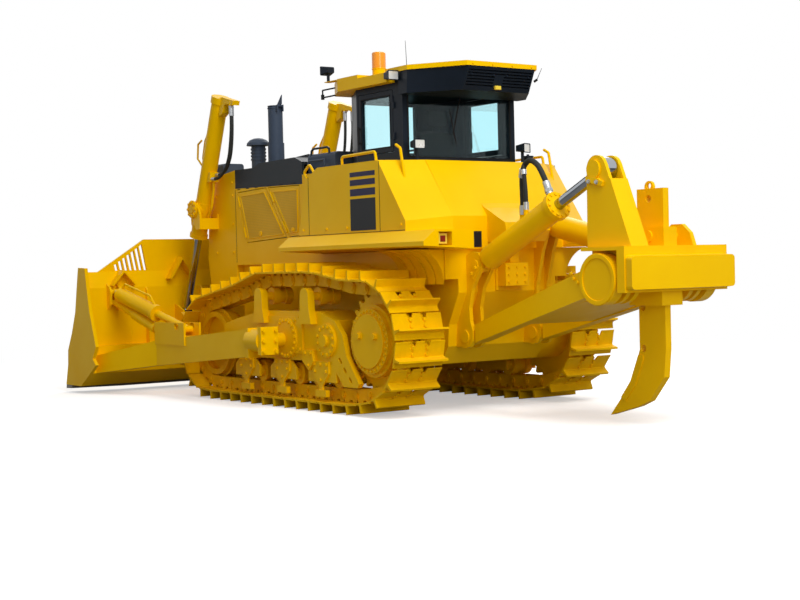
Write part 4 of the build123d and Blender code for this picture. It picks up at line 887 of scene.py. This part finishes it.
# %% Door inserts, beads and latches
door_inserts = {
    "front": [(-3.385, 2.255), (-2.850, 2.274), (-2.455, 1.795), (-3.215, 1.768)],
    "rear": [(-2.665, 2.270), (-2.150, 2.262), (-2.150, 1.812), (-2.325, 1.806)],
}
DOOR_FACE = 0.680
for side_name, turn in (("left", 1), ("right", -1)):
    for door_name, outline in door_inserts.items():
        body = f"bay_door_{door_name}_{side_name}_leaf"
        bm = bmesh.new()
        plate(bm, side_points(turn * DOOR_FACE, outline), (turn * 0.003, 0, 0))
        piece(bm, f"door_mesh_{door_name}_{side_name}", body, "yellow_paint", ochre_mesh, bevel=0.0)
        bm = bmesh.new()
        for first, last in zip(outline, outline[1:] + outline[:1]):
            bar(
                bm,
                place(turn * (DOOR_FACE + 0.002), *first),
                place(turn * (DOOR_FACE + 0.002), *last),
                0.006,
                sides=8,
            )
        latch = (outline[1][0] - 0.10, (outline[0][1] + outline[2][1]) / 2 - 0.21)
        bar(bm, place(turn * DOOR_FACE, *latch), place(turn * (DOOR_FACE + 0.012), *latch), 0.030, sides=20)
        bar(bm, place(turn * DOOR_FACE, *latch), place(turn * (DOOR_FACE + 0.018), *latch), 0.012, sides=12)
        piece(bm, f"door_bead_{door_name}_{side_name}", body, "yellow_paint", bevel=0.001)
print("door inserts", 4)

# %% [markdown]
# Stripes on a machine like this are cut from coloured film. Three navy bars and a dark plate stand on
# the tank's side, and both are left blank. Narrow dark joints between sheets are modelled as thin
# strips of seal. The slots under the hood's edge are flat strips of the same near-black sheet, which
# paint the shade inside each slot.

# %% Film, plate and joints
TANK_FACE = 1.100
BAR_SPAN = (-0.480, -0.050)
for side_name, turn in (("left", 1), ("right", -1)):
    bm = bmesh.new()
    for low, high in ((2.285, 2.330), (2.200, 2.257), (2.100, 2.168)):
        corners = [(BAR_SPAN[0], low), (BAR_SPAN[1], low), (BAR_SPAN[1], high), (BAR_SPAN[0], high)]
        plate(bm, side_points(turn * TANK_FACE, corners), (turn * 0.0015, 0, 0))
    piece(bm, f"navy_bars_{side_name}", "machine", "cab_paint", panel_navy, bevel=0.0)
    bm = bmesh.new()
    corners = [(BAR_SPAN[0], 1.765), (BAR_SPAN[1], 1.765), (BAR_SPAN[1], 2.072), (BAR_SPAN[0], 2.072)]
    plate(bm, side_points(turn * TANK_FACE, corners), (turn * 0.003, 0, 0))
    piece(bm, f"blank_plate_{side_name}", "machine", "cab_paint", plate_black, bevel=0.001)
    bm = bmesh.new()
    joints = [
        ((-1.245, 1.742), (-1.245, 2.330)), ((0.020, 1.742), (0.020, 2.412)),
        ((-1.440, 1.745), (0.425, 1.745)),
    ]
    for (y0, z0), (y1, z1) in joints:
        bar(bm, place(turn * TANK_FACE, y0, z0), place(turn * TANK_FACE, y1, z1), 0.003, sides=6)
    # the hood's slots: flat near-black strips on the door face, painted shade inside each slot
    for low, high in (
        (-3.46, -3.39), (-3.26, -3.19), (-3.06, -2.99), (-2.78, -2.70), (-2.52, -2.44), (-2.26, -2.18)
    ):
        outline = [(low, 2.336), (high, 2.336), (high, 2.344), (low, 2.344)]
        plate(bm, side_points(turn * 0.680, outline), (turn * 0.002, 0, 0))
    bar(bm, place(turn * 0.680, -3.511, 1.50), place(turn * 0.680, -3.511, 2.34), 0.003, sides=6)
    piece(bm, f"sheet_joints_{side_name}", "machine", "black_rubber", seal_rubber_and_painted_shade, bevel=0.0)
print("bars and plates", 2)

# %% [markdown]
# The radiator stands behind the guard at the machine's front. Its doors are dark perforated sheet
# behind a row of level bars, which stop branches and stones. The slat tree lays the bars out.

# %% Radiator grille
guard_faces = (((-4.110, 1.060), (-4.200, 1.525)), ((-4.204, 1.600), (-4.170, 2.015)))
for number, ((y0, z0), (y1, z1)) in enumerate(guard_faces):
    along = Vector((0, y1 - y0, z1 - z0))
    outward = Vector((0, -along.z, along.y)).normalized()
    bm = bmesh.new()
    corners = [place(-0.55, y0, z0), place(0.55, y0, z0), place(0.55, y1, z1), place(-0.55, y1, z1)]
    plate(bm, corners, outward * 0.004)
    piece(bm, f"radiator_mesh_{number}", "machine", "charcoal_paint", black_mesh, bevel=0.0)
    count = 11
    first = place(0, y0, z0) + outward * 0.010 + along / count / 2
    turn = (math.atan2(along.z, along.y) - math.pi / 2, 0, 0)
    grow(
        f"radiator_bars_{number}", slat_tree, "machine", "charcoal_paint", [first],
        Count=count, Step=along / count, Size=(1.12, 0.014, 0.022), Turn=turn,
    )
    bm = bmesh.new()
    for x in (-0.58, 0.0, 0.58):
        corners = [
            place(x - 0.03, y0, z0), place(x + 0.03, y0, z0), place(x + 0.03, y1, z1), place(x - 0.03, y1, z1)
        ]
        plate(bm, corners, outward * 0.022)
    piece(bm, f"radiator_posts_{number}", "machine", "yellow_paint")
print("radiator bars", 22)

# %% [markdown]
# ## Cab
# Panes are bonded into rubber, which shows as a dark rim. Behind the rear window stands the seat: a
# frame on a suspension box, with a cushion, a back and a head rest. They are foam under cloth, so each
# is a box whose faces swell and whose corners are drawn in, with a sewn edge.

# %% Window rims, handles and wipers
def rim(bm, corners, width, depth):
    """A frame of four bars with mitred corners, just outside a window's corners."""
    middle = sum(corners, Vector()) / len(corners)
    outer = [c + (c - middle).normalized() * width for c in corners]
    for i in range(4):
        after = (i + 1) % 4
        plate(bm, [corners[i], corners[after], outer[after], outer[i]], depth)


bm = bmesh.new()
rim(
    bm,
    [place(x, -0.130, z) for x, z in ((-0.63, 2.48), (0.63, 2.48), (0.63, 3.12), (-0.63, 3.12))],
    0.022,
    (0, 0.004, 0),
)
rim(
    bm,
    [place(x, -1.420, z) for x, z in ((-0.36, 2.52), (0.36, 2.52), (0.36, 3.12), (-0.36, 3.12))],
    0.022,
    (0, -0.004, 0),
)
piece(bm, "window_seals", "machine", "black_rubber", seal_rubber_and_painted_shade, bevel=0.001)
for side_name, turn in (("left", 1), ("right", -1)):
    bm = bmesh.new()
    glass_edge = [(-0.840, 2.590), (-0.350, 2.590), (-0.350, 3.080), (-0.840, 3.080)]
    rim(bm, side_points(turn * 0.700, glass_edge), 0.018, (turn * 0.003, 0, 0))
    bar(bm, place(turn * 0.700, -0.870, 2.66), place(turn * 0.724, -0.870, 2.66), 0.009, sides=10)
    bar(bm, place(turn * 0.700, -0.870, 2.80), place(turn * 0.724, -0.870, 2.80), 0.009, sides=10)
    bar(bm, place(turn * 0.722, -0.870, 2.64), place(turn * 0.722, -0.870, 2.82), 0.010, sides=12)
    piece(bm, f"door_trim_{side_name}", f"cab_door_{side_name}_leaf", "black_rubber", seal_rubber_and_painted_shade, bevel=0.001)
bm = bmesh.new()
bar(bm, place(0.0, -0.118, 3.10), place(0.10, -0.122, 2.70), 0.007, sides=10)
bar(bm, place(0.06, -0.120, 2.60), place(0.14, -0.120, 2.95), 0.006, sides=8)
bar(bm, place(0.0, -0.135, 3.10), place(0.0, -0.112, 3.10), 0.016, sides=14)
bar(bm, place(-0.05, -1.432, 2.54), place(-0.16, -1.430, 2.86), 0.007, sides=10)
bar(bm, place(-0.10, -1.431, 2.62), place(-0.20, -1.431, 2.98), 0.006, sides=8)
piece(bm, "wipers", "machine", "black_rubber", seal_rubber_and_painted_shade, bevel=0.0)
bm = bmesh.new()
bar(bm, place(0.720, -0.010, 3.226), place(0.720, -0.012, 3.250), 0.013, sides=14)
bar(bm, place(0.720, -0.012, 3.250), place(0.720, -0.032, 3.575), 0.0035, sides=8, end_radius=0.002)
bar(bm, place(-0.435, 0.500, 3.180), place(-0.450, 0.530, 3.200), 0.012, sides=12)
bar(bm, place(-0.450, 0.525, 3.198), place(-0.450, 0.600, 3.300), 0.0035, sides=8, end_radius=0.002)
piece(bm, "antennas", "machine", "black_rubber", seal_rubber_and_painted_shade, bevel=0.0)
bm = bmesh.new()
for turn in (-1, 1):
    low, high = place(turn * 0.800, -1.165, 3.170), place(turn * 0.800, -1.165, 3.245)
    low_far, high_far = place(turn * 0.845, -1.330, 3.160), place(turn * 0.845, -1.330, 3.235)
    for first, last in ((low, low_far), (high, high_far), (low_far, high_far)):
        bar(bm, first, last, 0.008, sides=10)
    bar(bm, low_far - Vector((0, 0, 0.02)), low_far + Vector((0, 0, 0.03)), 0.018, sides=14)
piece(bm, "mirror_brackets", "machine", "black_rubber", seal_rubber_and_painted_shade, bevel=0.0)
print("cab trim pieces", 6)


# %% Seat
def pad(name, middle, size, lean, crown):
    """A stuffed pad: a box with swollen faces, drawn-in corners and a sewn edge, leaning by an angle."""
    bm = bmesh.new()
    bmesh.ops.create_cube(bm, size=2.0)
    bmesh.ops.subdivide_edges(bm, edges=bm.edges[:], cuts=9, use_grid_fill=True)
    turn = Euler((lean, 0, 0)).to_matrix()
    half = Vector(size) / 2
    for vertex in bm.verts:
        x, y, z = vertex.co
        swell = (1 - x * x) * (1 - y * y)
        squeeze = 1 - 0.06 * (x * x * y * y)
        side_swell = 1 - 0.05 * z * z
        groove = 0.010 * math.exp(
            -((abs(x) - 0.55) / 0.05) ** 2
        ) + 0.008 * math.exp(-((abs(z) - 0.02) / 0.12) ** 2) * (max(abs(x), abs(y)) > 0.98)
        local = Vector((
            half.x * x * squeeze * side_swell,
            half.y * y * squeeze * side_swell,
            half.z * z + (
                crown * swell - groove * (abs(z) > 0.98)
            ) * (1 if z > 0 else -0.3 if z < 0 else 0) * abs(z),
        ))
        vertex.co = Vector(middle) + turn @ local
    made = piece(bm, name, "machine", "seat_vinyl", bevel=0.0)
    smooth = made.modifiers.new("smooth", "SUBSURF")
    smooth.levels = 1
    smooth.render_levels = 1
    return made


pad("seat_cushion", place(0, -0.810, 2.272), (0.520, 0.480, 0.125), 0.0, 0.014)
pad("seat_back", place(0, -0.566, 2.555), (0.480, 0.440, 0.100), math.radians(81), 0.012)
pad("head_rest", place(0, -0.535, 2.905), (0.255, 0.165, 0.080), math.radians(83), 0.010)
bm = bmesh.new()
box(bm, (-0.165, 0.165), (-0.955, -0.645), (2.001, 2.200))
for level_height in (2.04, 2.08, 2.12, 2.16):
    box(bm, (-0.172, 0.172), (-0.962, -0.638), (level_height, level_height + 0.016))
for x in (-0.045, 0.045):
    bar(bm, place(x, -0.545, 2.74), place(x, -0.530, 2.85), 0.007, sides=10)
for x in (-0.395, 0.325):
    outline = [(-0.955, 2.445), (-0.950, 2.522), (-0.525, 2.525), (-0.525, 2.005), (-0.795, 2.005)]
    plate(bm, side_points(x, outline), (0.070, 0, 0))
for x in (-0.360, 0.360):
    bar(bm, place(x, -0.880, 2.52), place(x, -0.895, 2.585), 0.012, sides=12)
    bar(bm, place(x, -0.894, 2.58), place(x, -0.900, 2.615), 0.026, sides=16, end_radius=0.018)
frame_piece = piece(bm, "seat_frame_and_consoles", "machine", "seat_vinyl", plate_black, bevel=0.008)
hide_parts("seat")
print("seat pads", 3)

# %% [markdown]
# ## Lamps and small fittings
# A work lamp is a square reflector behind fluted glass, in a black housing. The beacon's amber hood
# stands on a yellow base. Each tail lamp sits in its recess in the sill: a pale box with a red lens.

# %% Lamps
frame["nodes"]["lamp_lenses"].data.materials[0] = reflector
bm = bmesh.new()
BEACON = (0.300, -1.090)
bar(bm, place(*BEACON, 3.329), place(*BEACON, 3.386), 0.0935, sides=40)
bar(bm, place(*BEACON, 3.386), place(*BEACON, 3.400), 0.0935, sides=40, end_radius=0.070)
bar(bm, place(*BEACON, 3.400), place(*BEACON, 3.452), 0.070, sides=40)
bar(bm, place(*BEACON, 3.452), place(*BEACON, 3.462), 0.076, sides=40)
piece(bm, "beacon_base", "machine", "yellow_paint", bevel=0.002)
for side_name, turn in (("left", 1), ("right", -1)):
    bm = bmesh.new()
    xs = sorted((turn * 0.955, turn * 1.055))
    box(bm, xs, (0.795, 0.870), (1.605, 1.700))
    piece(bm, f"tail_lamp_box_{side_name}", "machine", "yellow_paint", pale_yellow, bevel=0.004)
    bm = bmesh.new()
    xs = sorted((turn * 0.978, turn * 1.034))
    box(bm, xs, (0.868, 0.876), (1.624, 1.680))
    piece(bm, f"tail_lamp_lens_{side_name}", "machine", "orange_lens", red_lens, bevel=0.003)
bm = bmesh.new()
box(bm, (-0.02, 0.05), (0.472, 0.500), (3.082, 3.118))
piece(bm, "box_lamp", "machine", "yellow_paint", pale_yellow, bevel=0.004)

# %% [markdown]
# Where a hose ends, a bright zinc-plated sleeve is crimped on it. The blade's tilt cylinder shows a
# short length of chromed rod. Both are bars laid over the CAD solids' own lines.

# %% Hose sleeves and the tilt cylinder's rod
bm = bmesh.new()
for x, y, z in ((0.772, -3.375, 3.262), (0.828, -3.300, 3.250)):
    for turn in (-1, 1):
        bar(bm, place(turn * x, y, z - 0.085), place(turn * x, y, z + 0.028), 0.0225, sides=20)
        bar(bm, place(turn * x, y, z + 0.004), place(turn * x, y, z + 0.024), 0.027, sides=6)
for x, z in ((0.772, 2.525), (0.828, 2.478)):
    for turn in (-1, 1):
        bar(bm, place(turn * x, -3.789, z), place(turn * x, -3.715, z), 0.0225, sides=20)
piece(bm, "lift_hose_sleeves", "lift_barrels", "chrome", zinc, bevel=0.001)
bm = bmesh.new()
port, port_way = place(0.417, 1.659, 2.041), Vector((0, -0.4221, 0.9066))
bar(bm, port - port_way * 0.030, port + port_way * 0.095, 0.033, sides=24)
bar(bm, port - port_way * 0.010, port + port_way * 0.020, 0.040, sides=6)
bar(bm, place(0.396, 1.286, 2.262), place(0.391, 1.262, 2.185), 0.032, sides=24)
bar(bm, place(0.385, 1.262, 1.850), place(0.385, 1.262, 1.935), 0.032, sides=24)
bar(bm, place(0.440, 1.372, 1.890), place(0.440, 1.372, 1.960), 0.025, sides=20)
bar(bm, place(0.432, 1.343, 2.205), place(0.425, 1.330, 2.250), 0.025, sides=20)
piece(bm, "ripper_hose_sleeves", "ripper_tilt_link", "chrome", zinc, bevel=0.001)
tilt_low, tilt_high = place(1.513, -3.174, 0.775), place(1.700, -4.640, 1.190)
bm = bmesh.new()
for turn in (-1, 1):
    flip = Vector((turn, 1, 1))
    bar(
        bm,
        (tilt_low + (tilt_high - tilt_low) * 0.922) * flip,
        (tilt_low + (tilt_high - tilt_low) * 0.965) * flip,
        0.0430,
        sides=28,
    )
piece(bm, "tilt_rod_chrome", "blade_gear", "chrome", bevel=0.0)
print("sleeves", 13)

# %% [markdown]
# Between the case and the fender the real machine has a folded filler sheet, and behind the case hangs
# the box of the ripper's pin puller valve. They are small, but seen from behind they break up what
# would be a bare wall.

# %% Folded fillers and the valve box
FOLD_RADIUS = 0.33
for side_name, turn in (("left", 1), ("right", -1)):
    bm = bmesh.new()
    for i in range(5):
        start = -0.13 + 0.137 * i
        arc_points = [
            (turn * (1.082 - FOLD_RADIUS * math.cos(a)), 1.232 + FOLD_RADIUS * math.sin(a))
            for a in (math.radians(90 * k / 10) for k in range(11))
        ]
        outline = [(turn * 0.752, 1.559)] + arc_points
        plate(bm, across_points(start, outline), (0, 0.125, 0))
    piece(bm, f"folded_filler_{side_name}", "machine", "yellow_paint", bevel=0.006)
bm = bmesh.new()
box(bm, (-0.14, 0.14), (0.56, 0.70), (1.20, 1.42))
box(bm, (-0.16, 0.16), (0.56, 0.58), (1.16, 1.46))
box(bm, (-0.06, 0.05), (0.58, 0.66), (1.42, 1.52))
piece(bm, "valve_box", "machine", "yellow_paint", bevel=0.004)
screws(
    "valve_box_screws",
    "machine",
    [place(x, 0.70, z) for x in (-0.10, 0.0, 0.10) for z in (1.24, 1.31, 1.38)],
    REAR,
    0.022,
)
# a thin near-black box, painted shade in the mouth beside the fuel tank, under the sill
bm = bmesh.new()
box(bm, (0.345, 0.700), (0.598, 0.604), (1.575, 1.725))
piece(bm, "tank_access", "machine", "black_rubber", seal_rubber_and_painted_shade, bevel=0.0)
print("fillers", 2)

# %% [markdown]
# ## Covers and handles
# Round covers close the ends of the big pins. A turned part is easiest to describe by its rings, so
# `ring` joins an inner and an outer circle into a flat washer of a given depth, with no hidden faces.

# %% Rings and covers
def ring(bm, x, station, height, inner, outer, depth, count=48):
    """A flat washer that faces +X or -X, built from four circles of points."""
    circles = [
        [bm.verts.new(p) for p in ring_of_points(x + shift, station, height, radius, count)]
        for radius, shift in ((inner, 0.0), (outer, 0.0), (outer, depth), (inner, depth))
    ]
    for i in range(4):
        first, second = circles[i], circles[(i + 1) % 4]
        for k in range(count):
            bm.faces.new((first[k], first[(k + 1) % count], second[(k + 1) % count], second[k]))


bm = bmesh.new()
for turn in (-1, 1):
    ring(bm, turn * 0.606, 2.457, 1.262, 0.176, 0.214, turn * 0.010)
piece(bm, "drum_rims", "ripper_frame", "yellow_paint", bevel=0.003)
bm = bmesh.new()
for turn in (-1, 1):
    bar(bm, place(turn * 0.931, -4.088, 2.141), place(turn * 0.952, -4.088, 2.141), 0.104, sides=48)
    bar(bm, place(turn * 0.952, -4.088, 2.141), place(turn * 0.960, -4.088, 2.141), 0.050, sides=32)
piece(bm, "yoke_covers", "lift_barrels", "yellow_paint", bevel=0.004)
side_screws("yoke_cover_screws", "lift_barrels", ring_of_points(0.952, -4.088, 2.141, 0.082, 8), 0.026)
print("covers", 4)

# %% Gland screws and handles
tilt_base, tilt_head = place(0.417, 0.695, 1.410), place(0.417, 2.370, 2.190)
tilt_run = (tilt_head - tilt_base).normalized()
across = tilt_run.cross(LEFT).normalized()
gland = [
    tilt_base + tilt_run * 1.195 + (LEFT * math.cos(a) + across * math.sin(a)) * 0.106
    for a in (math.tau * k / 12 for k in range(12))
]
screws("gland_screws", "ripper_tilt_link", gland, tilt_run, 0.026)
grab = [place(0.80, *p) for p in ((-4.075, 2.951), (-4.165, 2.912), (-4.185, 2.745), (-4.016, 2.602))]
bm = bmesh.new()
for turn in (-1, 1):
    ends = [p * Vector((turn, 1, 1)) if turn < 0 else p for p in grab]
    for first, last in zip(ends, ends[1:]):
        bar(bm, first, last, 0.012, sides=12)
piece(bm, "cylinder_grab_bars", "lift_barrels", "yellow_paint", bevel=0.0)
loop = [(-2.000, 2.600), (-1.985, 2.672), (-1.945, 2.690), (-1.675, 2.690), (-1.640, 2.672), (-1.630, 2.600)]
bm = bmesh.new()
for turn in (-1, 1):
    for first, last in zip(loop, loop[1:]):
        bar(bm, place(turn * 0.585, *first), place(turn * 0.585, *last), 0.012, sides=12)
piece(bm, "cowl_handles", "machine", "charcoal_paint", bevel=0.0)
print("gland screws", len(gland))
